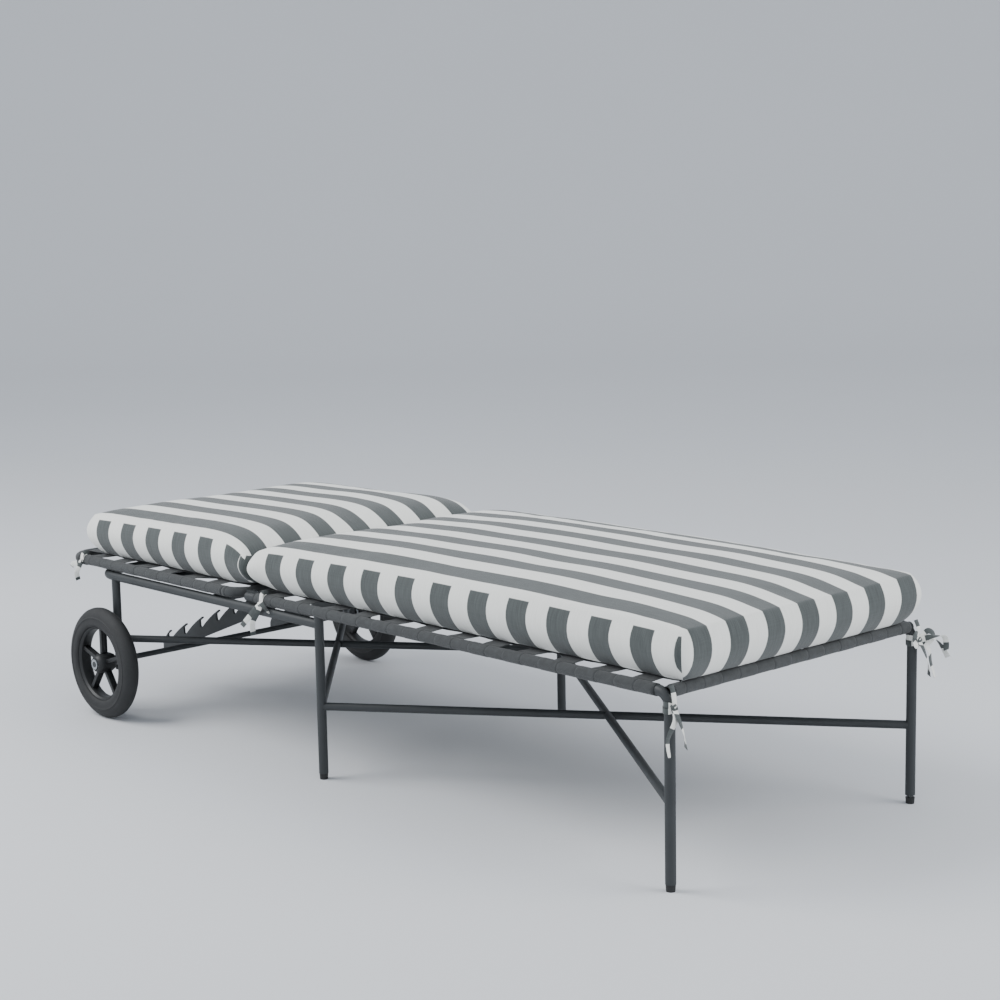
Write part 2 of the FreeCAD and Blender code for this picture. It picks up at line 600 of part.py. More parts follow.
back_end_bars = [rod(f"{node}_strap_seat", f"({WRAP_R} + sizes.side_gap)", "sizes.rail_gauge",
                     (x, f"(-{SIDE_Y})", RAIL_Z), ALONG_Y) for node, (x, yaws, inward) in BACK_ENDS.items()]
keep("back_long_straps", group("back_long_strap_set", long_straps(
    "back_long", BACK_END_X, BACK_START_X, back_end_bars)))
keep("back_cross_straps", group("back_cross_strap_set", cross_straps(
    "back_cross", BACK_STRAPS, f"({BACK_END_X} + sizes.back_corner - {WRAP_R})",
    f"({BACK_START_X} - sizes.back_corner + {WRAP_R})", back_wrapped)))

# ---- Prop -------------------------------------------------------------------------------------
ARM_OUT_Y = "(sizes.prop_gauge / 2)"
ARM_IN_Y = f"({ARM_OUT_Y} - sizes.prop_bar_thickness)"
CHEEK_Y = f"({ARM_OUT_Y} + sizes.plate_gap)"
ROD_R = "(sizes.prop_rod_size / 2)"
DRILL_START_Y = f"({ARM_IN_Y} - 2 * sizes.prop_bar_thickness)"
CHEEK_OUT_Y = f"({CHEEK_Y} + sizes.cheek_thickness)"
ROD_REACH = "(sizes.rack_spacing / 2 + sizes.rod_overreach)"
keep("prop_rod", rod("prop_rod_bar", ROD_R, f"(2 * {ROD_REACH})", (ROD_X, f"(-{ROD_REACH})", ROD_Z), ALONG_Y))
cheeks = []
pivots = []
for side, sign in SIDES:
    cheek = slab(f"cheek_plate_{side}", CHEEK_Y, "sizes.cheek_thickness", sign,
                 f"({PIVOT_X} - sizes.cheek_width / 2)", "sizes.cheek_width",
                 f"({PIVOT_Z} - sizes.cheek_margin)", f"({PROP_TUBE_Z} - {PIVOT_Z} + sizes.cheek_margin)")
    hole = across(f"cheek_hole_{side}", PIN_R, DRILL_START_Y, DRILL_LENGTH, sign, PIVOT_X, PIVOT_Z)
    cheeks.append(cut(f"cheek_{side}_solid", cheek, [prop_tube_bar, hole]))
    inner = f"({ARM_IN_Y} - sizes.side_gap)"
    shaft = across(f"prop_pin_shaft_{side}", PIN_R, inner, 
                   f"({CHEEK_OUT_Y} + sizes.peen_height - {inner})", sign, PIVOT_X, PIVOT_Z)
    head = across(f"prop_pin_head_{side}", HEAD_LAND_R, f"({inner} - sizes.pin_head_height)",
                  "sizes.pin_head_height", sign, PIVOT_X, PIVOT_Z)
    peen = across(f"prop_pin_peen_{side}", PEEN_R, CHEEK_OUT_Y, "sizes.peen_height", sign, PIVOT_X, PIVOT_Z)
    pivots.append(fuse(f"prop_pin_{side}_solid", [shaft, head, peen]))
    bar = block(f"prop_bar_{side}", ("sizes.prop_length", "sizes.prop_bar_thickness", "sizes.prop_bar_width"),
                ("0", "0", "(-sizes.prop_bar_width / 2)"))
    eyes = [rod(f"prop_eye_{side}_{index}", "(sizes.prop_bar_width / 2)", "sizes.prop_bar_thickness",
                (along, "0", "0"), ALONG_Y) for index, along in enumerate(("0", "sizes.prop_length"))]
    blank = place(fuse(f"prop_blank_{side}", [bar, *eyes]),
                  (PIVOT_X, ARM_IN_Y if sign > 0 else f"(-{ARM_OUT_Y})", PIVOT_Z),
                  ("0", "(180 - sizes.prop_fold)", "0"))
    bore = across(f"prop_bore_{side}", f"({PIN_R} + sizes.running_gap)", DRILL_START_Y, DRILL_LENGTH, sign,
                  PIVOT_X, PIVOT_Z)
    seat = across(f"prop_seat_{side}", ROD_R, DRILL_START_Y, DRILL_LENGTH, sign, ROD_X, ROD_Z)
    keep(f"prop_arm_{side}", cut(f"prop_arm_{side}_solid", blank, [bore, seat]))
keep("prop_cheeks", group("prop_cheek_set", cheeks))
keep("prop_pins", group("prop_pin_set", pivots))

# ---- Wheels -----------------------------------------------------------------------------------
WHEEL_R = "(sizes.wheel_size / 2)"
SECTION_R = "(sizes.tyre_section / 2)"
RIM_OPEN_R = f"({WHEEL_R} - sizes.tyre_section)"
RIM_R = f"({RIM_OPEN_R} + sizes.rim_lip)"
HUB_R = "(sizes.hub_size / 2)"
BUSH_R = f"({AXLE_R} + sizes.running_gap + sizes.bush_wall)"
MID_Y = f"({HUB_IN_Y} + sizes.hub_width / 2)"
washers = []
caps = []
for side, sign in SIDES:
    def ring(name, outer, width, sign=sign, side=side):
        return across(f"{name}_{side}", outer, f"({MID_Y} - {width} / 2)", width, sign, HEAD_X, AXLE_Z)

    doughnut = primitive("Part::Torus", f"tyre_round_{side}", (HEAD_X, signed(sign, MID_Y), AXLE_Z), ALONG_Y,
                         Radius1=f"({WHEEL_R} - {SECTION_R})", Radius2=SECTION_R)
    flanks = doc.addObject("Part::Common", f"tyre_flanks_{side}")
    flanks.Base = doughnut
    flanks.Tool = ring("tyre_slab", WHEEL_R, "sizes.tyre_width")
    keep(f"tyre_{side}", cut(f"tyre_{side}_solid", flanks, [ring("tyre_bed", RIM_R, "(2 * sizes.tyre_width)")]))
    barrel = cut(f"rim_barrel_{side}", ring("rim_outer", RIM_R, "sizes.rim_width"),
                 [ring("rim_inner", RIM_OPEN_R, "(2 * sizes.rim_width)")])
    spokes = [block(f"spoke_{side}_{index}", (f"({RIM_OPEN_R} + sizes.rim_lip / 2)", "sizes.spoke_width",
                                              "(sizes.rim_width / 2)"), ("0", "(-sizes.spoke_width / 2)",
                                                                         "(-sizes.rim_width / 4)"))
              for index in range(SPOKES)]
    for index, spoke in enumerate(spokes):
        half = "sizes.spoke_width / 2"
        turn = f"{90 + 360 * index / SPOKES}"
        place(spoke, (f"({half} * sin({turn}deg))", f"(-{half} * cos({turn}deg))", "(-sizes.rim_width / 4)"),
              (turn, "0", "0"))
    star = place(fuse(f"spokes_{side}", spokes), (HEAD_X, signed(sign, MID_Y), AXLE_Z), ALONG_Y)
    hub = ring("hub", HUB_R, "sizes.hub_width")
    keep(f"rim_{side}", cut(f"rim_{side}_solid", fuse(f"rim_blank_{side}", [barrel, star, hub]),
                            [ring("hub_bore", BUSH_R, "(2 * sizes.hub_width)")]))
    bush_bore = ring("bush_bore", f"({AXLE_R} + sizes.running_gap)", "(2 * sizes.hub_width)")
    keep(f"wheel_bush_{side}", cut(f"bush_{side}_solid", ring("bush_outer", BUSH_R, "sizes.hub_width"), [bush_bore]))
    gap = "(sizes.hub_gap - sizes.side_gap)"
    washer = across(f"washer_outer_{side}", f"({AXLE_R} + sizes.washer_land)", f"({SIDE_Y} + {TUBE_R})", gap,
                    sign, HEAD_X, AXLE_Z)
    washers.append(cut(f"axle_washer_{side}", washer, [axle_bar, head_leg_solids[side]]))
    cap = across(f"cap_outer_{side}", f"({AXLE_R} + sizes.washer_land)", f"({HUB_OUT_Y} + sizes.side_gap)",
                 "sizes.webbing_thickness", sign, HEAD_X, AXLE_Z)
    bore = across(f"cap_bore_{side}", AXLE_R, HUB_OUT_Y, "10", sign, HEAD_X, AXLE_Z)
    caps.append(cut(f"axle_cap_{side}", cap, [bore]))
keep("axle_washers", group("axle_washer_set", washers))
keep("axle_rings", group("axle_ring_set", caps))

# ---- Levelling feet and plugs -----------------------------------------------------------------
FEET = {
    "foot_near_front": (LEG_X, f"(-{SIDE_Y})", "0"),
    "foot_far_front": (LEG_X, SIDE_Y, "sizes.turned_out"),
    "foot_near_middle": (MID_X, f"(-{SIDE_Y})", "0"),
    "foot_far_middle": (MID_X, SIDE_Y, "0"),
}
STUD_R = "(sizes.stud_size / 2)"
inserts = []
for node, (x, y, out) in FEET.items():
    pad = primitive("Part::Cone", f"{node}_pad", (x, y, "0"), UPRIGHT, Radius1="(sizes.foot_size / 2 - 1)",
                    Radius2="(sizes.foot_size / 2)", Height="sizes.foot_height")
    stud = rod(f"{node}_stud", STUD_R, f"(sizes.stud_length + {out})", (x, y, "sizes.foot_height"))
    keep(node, fuse(f"{node}_solid", [pad, stud]))
    end = f"({LEG_END_Z} + {out})"
    plug = rod(f"{node}_plug", f"({TUBE_R} - sizes.tube_wall)", "sizes.stud_length", (x, y, end))
    bore = rod(f"{node}_thread", f"({STUD_R} + sizes.running_gap)", "(2 * sizes.stud_length)",
               (x, y, f"({end} - sizes.stud_length / 2)"))
    inserts.append(cut(f"{node}_insert", plug, [bore]))
keep("leg_inserts", group("leg_insert_set", inserts))
plugs = []
for side, sign in SIDES:
    start = f"({HINGE_X} + {TUBE_R})"
    plugs.append(rod(f"rail_plug_{side}", TUBE_R, "sizes.webbing_thickness",
                     (f"({start} - sizes.webbing_thickness)", signed(sign, SIDE_Y), RAIL_Z), ALONG_X))
    plugs.append(rod(f"leg_plug_{side}", TUBE_R, "sizes.webbing_thickness",
                     (HEAD_X, signed(sign, SIDE_Y), f"({AXLE_Z} - sizes.tube_size - sizes.webbing_thickness)")))
keep("tube_plugs", group("tube_plug_set", plugs))

# ---- Mattress ---------------------------------------------------------------------------------
# Two cushions that meet over the hinge. The end of each is a wedge of its own, which is squeezed
# when the backrest comes up, and the rest of each stays clear of the other over the whole tilt.
CUSHION_TOP = f"({CUSHION_Z} + sizes.cushion_thickness)"
SLANT = "tan(sizes.fold_half_angle * 1deg)"
LOW_CUT = f"(({CUSHION_Z} - {RAIL_Z}) * {SLANT})"
HIGH_CUT = f"(({CUSHION_TOP} - {RAIL_Z}) * {SLANT})"
CUSHION_HEAD_X = f"({BACK_END_X} + sizes.cushion_inset)"


def cushion(name, low, high):
    """A soft block; low and high are its x ranges at the bottom and at the top."""
    return keep(name, primitive(
        "Part::Wedge", f"{name}_solid", ("0", "0", "0"), ("0", "0", "90"), Ymin=CUSHION_Z, Ymax=CUSHION_TOP,
        Zmin=f"(-{CUSHION_Y})", Z2min=f"(-{CUSHION_Y})", Zmax=CUSHION_Y, Z2max=CUSHION_Y,
        Xmin=low[0], Xmax=low[1], X2min=high[0], X2max=high[1]))


cushion("seat_cushion", (f"({HINGE_X} + {LOW_CUT})", "(sizes.overall_length / 2)"),
        (f"({HINGE_X} + {HIGH_CUT})", "(sizes.overall_length / 2)"))
cushion("seat_cushion_end", (f"({HINGE_X} + sizes.split_gap / 2)", f"({HINGE_X} + {LOW_CUT})"),
        (f"({HINGE_X} + sizes.split_gap / 2)", f"({HINGE_X} + {HIGH_CUT})"))
cushion("back_cushion", (CUSHION_HEAD_X, f"({HINGE_X} - {LOW_CUT})"),
        (CUSHION_HEAD_X, f"({HINGE_X} - {HIGH_CUT})"))
cushion("back_cushion_end", (f"({HINGE_X} - {LOW_CUT})", f"({HINGE_X} - sizes.split_gap / 2)"),
        (f"({HINGE_X} - {HIGH_CUT})", f"({HINGE_X} - sizes.split_gap / 2)"))


def ribbon_tie(name, x, face, sign):
    """A ribbon from the mattress edge down the outside of a tube, knotted, with one loose tail."""
    half = "(sizes.ribbon_width / 2)"
    start = f"({x} - {half})"
    knot_z = f"({RAIL_Z} - sizes.tie_drop + sizes.tie_lap - sizes.ribbon_width)"
    strip = slab(f"{name}_strip", face, "sizes.ribbon_thickness", sign, start, "sizes.ribbon_width",
                 f"({RAIL_Z} - sizes.tie_drop)", f"({CUSHION_Z} - {RAIL_Z} + sizes.tie_drop - sizes.tie_gap)")
    knot = slab(f"{name}_knot", face, "(4 * sizes.ribbon_thickness)", sign, start, "sizes.ribbon_width",
                knot_z, "sizes.ribbon_width")
    tail = slab(f"{name}_tail", face, "sizes.ribbon_thickness", sign, start, "sizes.ribbon_width",
                f"({knot_z} + sizes.tie_lap - sizes.ribbon_tail)", "sizes.ribbon_tail")
    return fuse(f"{name}_tie", [strip, knot, tail])


seat_ties = []
back_ties = []
for side, sign in SIDES:
    seat_ties.append(ribbon_tie(f"foot_corner_{side}", LEG_X, f"({SIDE_Y} + {TUBE_R})", sign))
    seat_ties.append(ribbon_tie(f"split_{side}", f"({WRAP_START_X} + sizes.ribbon_width)",
                                f"({SIDE_Y} + {WRAP_R})", sign))
    back_ties.append(ribbon_tie(f"head_corner_{side}", f"({back_start} + sizes.ribbon_width)",
                                f"({SIDE_Y} + {WRAP_R})", sign))
keep("seat_ties", group("seat_tie_set", seat_ties))
keep("back_ties", group("back_tie_set", back_ties))

# ---- Checks and files -------------------------------------------------------------------------
doc.recompute()
failed = [item.Name for item in doc.Objects if "Invalid" in item.State or "Error" in item.State]
if failed:
    raise SystemExit(f"failed objects: {failed}")
os.makedirs("parts", exist_ok=True)
for node, piece in nodes.items():
    shape = piece.Shape
    if shape.isNull() or not shape.isValid():
        raise SystemExit(f"{node} has no valid shape")
    shape.exportStep(f"parts/{node}.step")
    print(f"{node}: {len(shape.Solids)} solids, {shape.Volume / 1000:.1f} cm3")
overall = Part.makeCompound([piece.Shape for piece in nodes.values()]).BoundBox
print(f"{len(nodes)} nodes, box {overall}")
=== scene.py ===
# %% [markdown]
# # A reclining sun lounger
# The welded frame, its joints and every size come from the CAD model, which is loaded first and
# never moved. This lesson adds what a CAD solid can't show: plaited webbing, webbing wound round
# the rails, a stuffed striped mattress in two parts, ribbons, moulded wheels, and the finishes.

# %% Load the frame
import json
import math
import bpy
import numpy as np
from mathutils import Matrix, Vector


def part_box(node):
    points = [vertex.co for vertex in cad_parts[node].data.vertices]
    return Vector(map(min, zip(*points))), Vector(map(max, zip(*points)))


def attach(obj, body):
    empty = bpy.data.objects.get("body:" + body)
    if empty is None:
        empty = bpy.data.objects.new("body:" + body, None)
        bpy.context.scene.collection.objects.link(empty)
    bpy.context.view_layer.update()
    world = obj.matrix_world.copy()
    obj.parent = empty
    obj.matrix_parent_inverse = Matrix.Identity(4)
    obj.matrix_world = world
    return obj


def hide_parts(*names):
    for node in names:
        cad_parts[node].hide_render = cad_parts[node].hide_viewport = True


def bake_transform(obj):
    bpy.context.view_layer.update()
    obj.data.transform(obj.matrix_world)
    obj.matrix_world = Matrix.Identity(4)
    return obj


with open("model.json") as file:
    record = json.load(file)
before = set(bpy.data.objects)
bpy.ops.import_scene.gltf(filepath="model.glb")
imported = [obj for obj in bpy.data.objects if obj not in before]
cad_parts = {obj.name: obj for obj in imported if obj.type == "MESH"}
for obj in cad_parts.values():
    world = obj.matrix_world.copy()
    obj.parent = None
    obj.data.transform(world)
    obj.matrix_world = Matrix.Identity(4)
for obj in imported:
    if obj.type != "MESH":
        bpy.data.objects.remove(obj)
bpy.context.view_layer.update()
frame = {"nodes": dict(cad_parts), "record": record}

# %% [markdown]
# ## Camera
# A catalogue view: low, from the foot end and one side, with a long lens so that the tubes stay
# nearly parallel. The three angles turn the camera about the upright, above the horizon, and about
# its own line of sight.

# %% Camera
azimuth, elevation, roll = (math.radians(v) for v in (47.2145, 8.8733, -1.0842))
backward = np.array([math.sin(azimuth) * math.cos(elevation), -math.cos(azimuth) * math.cos(elevation),
                     math.sin(elevation)])
level = np.cross([0, 0, 1], backward)
level /= np.linalg.norm(level)
upward = np.cross(backward, level)
right = level * math.cos(roll) + upward * math.sin(roll)
above = upward * math.cos(roll) - level * math.sin(roll)
camera = bpy.data.objects.new("camera", bpy.data.cameras.new("camera"))
bpy.context.collection.objects.link(camera)
pose = np.eye(4)
pose[:3, 0], pose[:3, 1], pose[:3, 2], pose[:3, 3] = right, above, backward, (3.0871, -2.7177, 1.1664)
camera.matrix_world = pose.T.tolist()
camera.data.sensor_width = 36
camera.data.lens = 72.57
bpy.context.scene.camera = camera
print("camera", round(camera.data.lens, 1), "mm")

# %% [markdown]
# ## A function for nodes
# A material is a small graph. One helper adds a node, sets its settings, and fills or links its
# inputs, so that each material below reads as a list of what its surface does.

# %% Nodes and colour
def add(tree, kind, inputs=None, **settings):
    node = tree.nodes.new(kind)
    for key, value in settings.items():
        setattr(node, key, value)
    for key, value in (inputs or {}).items():
        if isinstance(value, bpy.types.NodeSocket):
            tree.links.new(value, node.inputs[key])
        else:
            node.inputs[key].default_value = value
    return node


def linear(code):
    """An sRGB hex colour as linear RGBA."""
    parts = [int(code[i:i + 2], 16) / 255 for i in (1, 3, 5)]
    return (*[v / 12.92 if v <= 0.04045 else ((v + 0.055) / 1.055) ** 2.4 for v in parts], 1)


def new_finish(name, **constants):
    """An empty material with its shader; constants go straight on the shader's sockets."""
    made = bpy.data.materials.new(name)
    made.use_nodes = True
    tree = made.node_tree
    tree.nodes.clear()
    shader = add(tree, "ShaderNodeBsdfPrincipled",
                 {key.replace("_", " "): value for key, value in constants.items()})
    add(tree, "ShaderNodeOutputMaterial", {"Surface": shader.outputs["BSDF"]})
    return made, tree, shader


MM = 0.001


def grains(tree, vector, size_mm, detail=2.0):
    """Noise whose blotches are about size_mm across."""
    return add(tree, "ShaderNodeTexNoise", {"Vector": vector, "Scale": 1 / (2 * size_mm * MM), "Detail": detail})


def bumped(tree, shader, height, depth_mm, strength=1.0):
    bump = add(tree, "ShaderNodeBump", {"Height": height, "Distance": depth_mm * MM, "Strength": strength})
    tree.links.new(bump.outputs["Normal"], shader.inputs["Normal"])


def two_tones(tree, shader, factor, low, high):
    mix = add(tree, "ShaderNodeMix", data_type="RGBA")
    tree.links.new(factor, mix.inputs[0])
    mix.inputs[6].default_value, mix.inputs[7].default_value = linear(low), linear(high)
    tree.links.new(mix.outputs[2], shader.inputs["Base Color"])
    return mix


print("node helpers ready")

# %% [markdown]
# ## Powder-coated steel
# Polyester powder is sprayed on dry and baked, which leaves a satin film with a fine orange peel,
# a little paler where it's thin. A dielectric with a middling roughness gives the soft highlight.

# %% Powder coat
powder, tree, shader = new_finish("satin powder coat", IOR=1.5)
place = add(tree, "ShaderNodeTexCoord").outputs["Object"]
peel = grains(tree, place, 1.2, 3)
two_tones(tree, shader, grains(tree, place, 30).outputs["Fac"], "#25282a", "#34383a")
rough = add(tree, "ShaderNodeMapRange", {0: peel.outputs["Fac"], 3: 0.46, 4: 0.6})
tree.links.new(rough.outputs[0], shader.inputs["Roughness"])
bumped(tree, shader, peel.outputs["Fac"], 0.12, 0.6)
print("made", powder.name)

# %% [markdown]
# ## Zinc plate
# Pins, washers and the screw threads are steel with bright zinc on it: metallic, slightly blue,
# with the cloudy crystals of the plating bath.

# %% Zinc plate
zinc, tree, shader = new_finish("bright zinc plate", Metallic=1.0)
place = add(tree, "ShaderNodeTexCoord").outputs["Object"]
cloud = grains(tree, place, 3)
two_tones(tree, shader, cloud.outputs["Fac"], "#8b9094", "#c3c7ca")
rough = add(tree, "ShaderNodeMapRange", {0: cloud.outputs["Fac"], 3: 0.24, 4: 0.42})
tree.links.new(rough.outputs[0], shader.inputs["Roughness"])
bumped(tree, shader, grains(tree, place, 0.4).outputs["Fac"], 0.04)
print("made", zinc.name)

# %% [markdown]
# ## Rubber, and moulded nylon
# The tyres are solid black rubber, dull and dusty. The rims, feet and plugs are moulded nylon:
# dark, a little shinier, with the fine spark-eroded texture of a mould.

# %% Rubber and nylon
def moulded(name, low, high, size_mm, roughest, depth_mm):
    made, tree, shader = new_finish(name, IOR=1.52)
    place = add(tree, "ShaderNodeTexCoord").outputs["Object"]
    texture = grains(tree, place, size_mm, 4)
    two_tones(tree, shader, grains(tree, place, 18).outputs["Fac"], low, high)
    rough = add(tree, "ShaderNodeMapRange", {0: texture.outputs["Fac"], 3: roughest - 0.2, 4: roughest})
    tree.links.new(rough.outputs[0], shader.inputs["Roughness"])
    bumped(tree, shader, texture.outputs["Fac"], depth_mm)
    return made


rubber = moulded("tyre rubber", "#1b1c1d", "#2b2c2d", 1.5, 0.85, 0.15)
nylon = moulded("moulded nylon", "#161718", "#222426", 0.6, 0.6, 0.05)

# %% [markdown]
# A screw foot is a nylon pad on a zinc-plated stud. The CAD node is one solid, so one material
# shows both: it turns from nylon to zinc at the height where the pad ends.

# %% Screw foot
screw_foot, tree, shader = new_finish("nylon pad on a zinc stud")
place = add(tree, "ShaderNodeTexCoord").outputs["Object"]
height = add(tree, "ShaderNodeSeparateXYZ", {0: place}).outputs["Z"]
pad_height = 12 * MM
stud = add(tree, "ShaderNodeMath", {0: height, 1: pad_height}, operation="GREATER_THAN")
two_tones(tree, shader, stud.outputs[0], "#1a1b1c", "#aab0b3")
tree.links.new(stud.outputs[0], shader.inputs["Metallic"])
rough = add(tree, "ShaderNodeMapRange", {0: stud.outputs[0], 3: 0.55, 4: 0.3})
tree.links.new(rough.outputs[0], shader.inputs["Roughness"])
thread = add(tree, "ShaderNodeTexWave", {"Vector": place, "Scale": 1 / (20 * MM)}, bands_direction="Z")
bumped(tree, shader, thread.outputs["Fac"], 0.3, 0.5)
print("made", nylon.name, rubber.name, screw_foot.name)

# %% [markdown]
# ## Webbing
# Black polypropylene webbing, woven tight, dull, with a slight rib across it. Every strap carries
# a vector called cut: how far along the webbing a point is, and how far across. The weave follows
# that vector, so it bends and wraps with the strap. Real threads are about 0.8 mm; they are drawn
# at 1.6 mm so that they show.

# %% Webbing
def weave(tree, cut, thread_mm):
    """Over-and-under height of a plain weave on the cut vector."""
    turn = add(tree, "ShaderNodeVectorMath", {0: cut, 1: (math.pi / (thread_mm * MM),) * 3}, operation="MULTIPLY")
    parts = add(tree, "ShaderNodeSeparateXYZ", {0: turn.outputs[0]})
    warp = add(tree, "ShaderNodeMath", {0: parts.outputs["X"]}, operation="SINE")
    weft = add(tree, "ShaderNodeMath", {0: parts.outputs["Y"]}, operation="SINE")
    return add(tree, "ShaderNodeMath", {0: warp.outputs[0], 1: weft.outputs[0]}, operation="MULTIPLY")


webbing, tree, shader = new_finish("black woven webbing", Roughness=0.85, Sheen_Weight=0.15)
cut = add(tree, "ShaderNodeAttribute", attribute_name="cut").outputs["Vector"]
web = weave(tree, cut, 1.6)
fuzz = grains(tree, cut, 6, 4)
shade = add(tree, "ShaderNodeMath", {0: web.outputs[0], 1: 0.25, 2: fuzz.outputs["Fac"]}, operation="MULTIPLY_ADD")
two_tones(tree, shader, shade.outputs[0], "#262829", "#46494a")
bumped(tree, shader, web.outputs[0], 0.35, 0.7)
print("made", webbing.name)

# %% [markdown]
# ## Striped canvas
# Solution-dyed acrylic canvas with 48 mm block stripes in charcoal and a warm white. Charcoal yarn
# is a mix of dark and pale fibres, so the dark stripes look heathered along the thread. The top and
# the ends show the stripes running along the lounger; the boxing at the sides is cut the other way,
# so its stripes stand upright, under a narrow white turning.

# %% Canvas
def canvas(name, across_axis, first_dark, pitch, white_band=0.0):
    """Striped canvas; across_axis is the part of cut that the stripes step along."""
    made, tree, shader = new_finish(name, Roughness=0.9, Sheen_Weight=0.25, Sheen_Roughness=0.5)
    cut = add(tree, "ShaderNodeAttribute", attribute_name="cut").outputs["Vector"]
    parts = add(tree, "ShaderNodeSeparateXYZ", {0: cut})
    step = add(tree, "ShaderNodeMath", {0: parts.outputs[across_axis], 1: first_dark}, operation="SUBTRACT")
    wave = add(tree, "ShaderNodeMath", {0: step.outputs[0], 1: pitch / 2}, operation="PINGPONG")
    dark = add(tree, "ShaderNodeMapRange", {0: wave.outputs[0], 1: pitch / 4 + 0.4 * MM, 2: pitch / 4 - 0.4 * MM})
    mask = dark.outputs[0]
    if white_band:
        below = add(tree, "ShaderNodeMapRange", {0: parts.outputs["Z"], 1: white_band - 0.5 * MM,
                                                 2: white_band + 0.5 * MM})
        mask = add(tree, "ShaderNodeMath", {0: mask, 1: below.outputs[0]}, operation="MULTIPLY").outputs[0]
    along = add(tree, "ShaderNodeVectorMath", {0: cut, 1: (30, 400, 30) if across_axis == "Y" else (400, 30, 30)},
                operation="MULTIPLY")
    slub = add(tree, "ShaderNodeTexNoise", {"Vector": along.outputs[0], "Scale": 1.0, "Detail": 3})
    tones = []
    for low, high in (("#e3e4dd", "#f6f6f1"), ("#2f3434", "#565c5b")):
        mix = add(tree, "ShaderNodeMix", data_type="RGBA")
        tree.links.new(slub.outputs["Fac"], mix.inputs[0])
        mix.inputs[6].default_value, mix.inputs[7].default_value = linear(low), linear(high)
        tones.append(mix.outputs[2])
    blend = add(tree, "ShaderNodeMix", data_type="RGBA")
    tree.links.new(mask, blend.inputs[0])
    tree.links.new(tones[0], blend.inputs[6])
    tree.links.new(tones[1], blend.inputs[7])
    tree.links.new(blend.outputs[2], shader.inputs["Base Color"])
    bumped(tree, shader, weave(tree, cut, 1.4).outputs[0], 0.25, 0.5)
    return made


stripe = 96 * MM
top_canvas = canvas("striped canvas, lengthwise", "Y", -3 * stripe, stripe)
side_pitch = 102.7 * MM
seat_side_canvas = canvas("striped canvas, seat boxing", "X", -0.173, side_pitch, 10 * MM)
back_side_canvas = canvas("striped canvas, back boxing", "X", -0.3055, 101.4 * MM, 10 * MM)
ribbon_canvas = canvas("striped ribbon", "X", 0.0, 52 * MM)
print("made", top_canvas.name, seat_side_canvas.name, back_side_canvas.name)

# %% [markdown]
# ## Paint the CAD pieces
# Welded tubes, plates and pins have the right shape already, so they stay as they are and only
# get their finish.

# %% Assign finishes to CAD nodes
finish_for_slot = {"frame_paint": powder, "zinc_plate": zinc, "rim_plastic": nylon, "nylon": nylon,
                   "tyre": rubber, "foot_plastic": nylon, "webbing": webbing}
painted = 0
for part in frame["record"]["subparts"]:
    finish = finish_for_slot.get(part["material_slot"])
    if part["node"].startswith("foot_near") or part["node"].startswith("foot_far"):
        finish = screw_foot
    if finish is None:
        continue
    node = frame["nodes"][part["node"]]
    node.data.materials.clear()
    node.data.materials.append(finish)
    painted += 1
print("finished", painted, "CAD nodes")

# %% [markdown]
# ## Building from lists
# The soft pieces are meshes made in code. One function turns vertices, faces and their cut vectors
# into an object; the rest of the lesson only works out those lists.

# %% Mesh helper
def make_object(name, points, faces, cuts, finishes, slots=None, smooth=True):
    mesh = bpy.data.meshes.new(name)
    mesh.from_pydata([tuple(map(float, p)) for p in points], [], [tuple(map(int, f)) for f in faces])
    mesh.validate()
    cut = mesh.attributes.new("cut", "FLOAT_VECTOR", "POINT")
    cut.data.foreach_set("vector", np.array(cuts, np.float32).ravel())
    for finish in finishes:
        mesh.materials.append(finish)
    if slots is not None:
        mesh.polygons.foreach_set("material_index", slots)
    mesh.polygons.foreach_set("use_smooth", [smooth] * len(mesh.polygons))
    made = bpy.data.objects.new(name, mesh)
    bpy.context.collection.objects.link(made)
    return made


def join(parts):
    """Several (points, faces, cuts) lists as one."""
    points, faces, cuts = [], [], []
    for more_points, more_faces, more_cuts in parts:
        start = len(points)
        points.extend(more_points)
        cuts.extend(more_cuts)
        faces.extend([[start + index for index in face] for face in more_faces])
    return points, faces, cuts


def strip(path, across, width, thickness, start=0.0):
    """A flat band: path and across are arrays of points and of unit vectors across the band."""
    path, across = np.array(path, float), np.array(across, float)
    runs = np.gradient(path, axis=0)
    normal = np.cross(runs, across)
    normal /= np.linalg.norm(normal, axis=1)[:, None]
    length = start + np.concatenate([[0], np.cumsum(np.linalg.norm(np.diff(path, axis=0), axis=1))])
    ring = [(-0.5, -0.25), (-0.46, -0.5), (0.46, -0.5), (0.5, -0.25), (0.5, 0.25), (0.46, 0.5), (-0.46, 0.5),
            (-0.5, 0.25)]
    points, cuts, faces = [], [], []
    for index, centre in enumerate(path):
        for side, up in ring:
            points.append(centre + across[index] * side * width + normal[index] * up * thickness)
            cuts.append((length[index], side * width, up * thickness))
    count = len(ring)
    for index in range(len(path) - 1):
        for corner in range(count):
            a, b = index * count + corner, index * count + (corner + 1) % count
            faces.append((a, b, b + count, a + count))
    faces.append(tuple(range(count - 1, -1, -1)))
    faces.append(tuple(range((len(path) - 1) * count, len(path) * count)))
    return points, faces, cuts


print("mesh helpers ready")

# %% [markdown]
# ## Plaited straps
# Seven straps run along the frame and the cross straps pass over and under them in turn. Each band
# follows a gentle wave whose crests sit at the crossings; where one strap is up, its neighbour is
# down, as in any plait.

# %% Plait the straps
web_width = 45 * MM
web_thick = 1.1 * MM
rail_z = (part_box("side_rail_near")[1][2]) - 9.5 * MM
side_y = abs(sum(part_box("mid_leg_near")[i][1] for i in (0, 1)) / 2)
wrap_radius = 11.5 * MM
plait_z = rail_z + 9.5 * MM
lift = 0.95 * MM


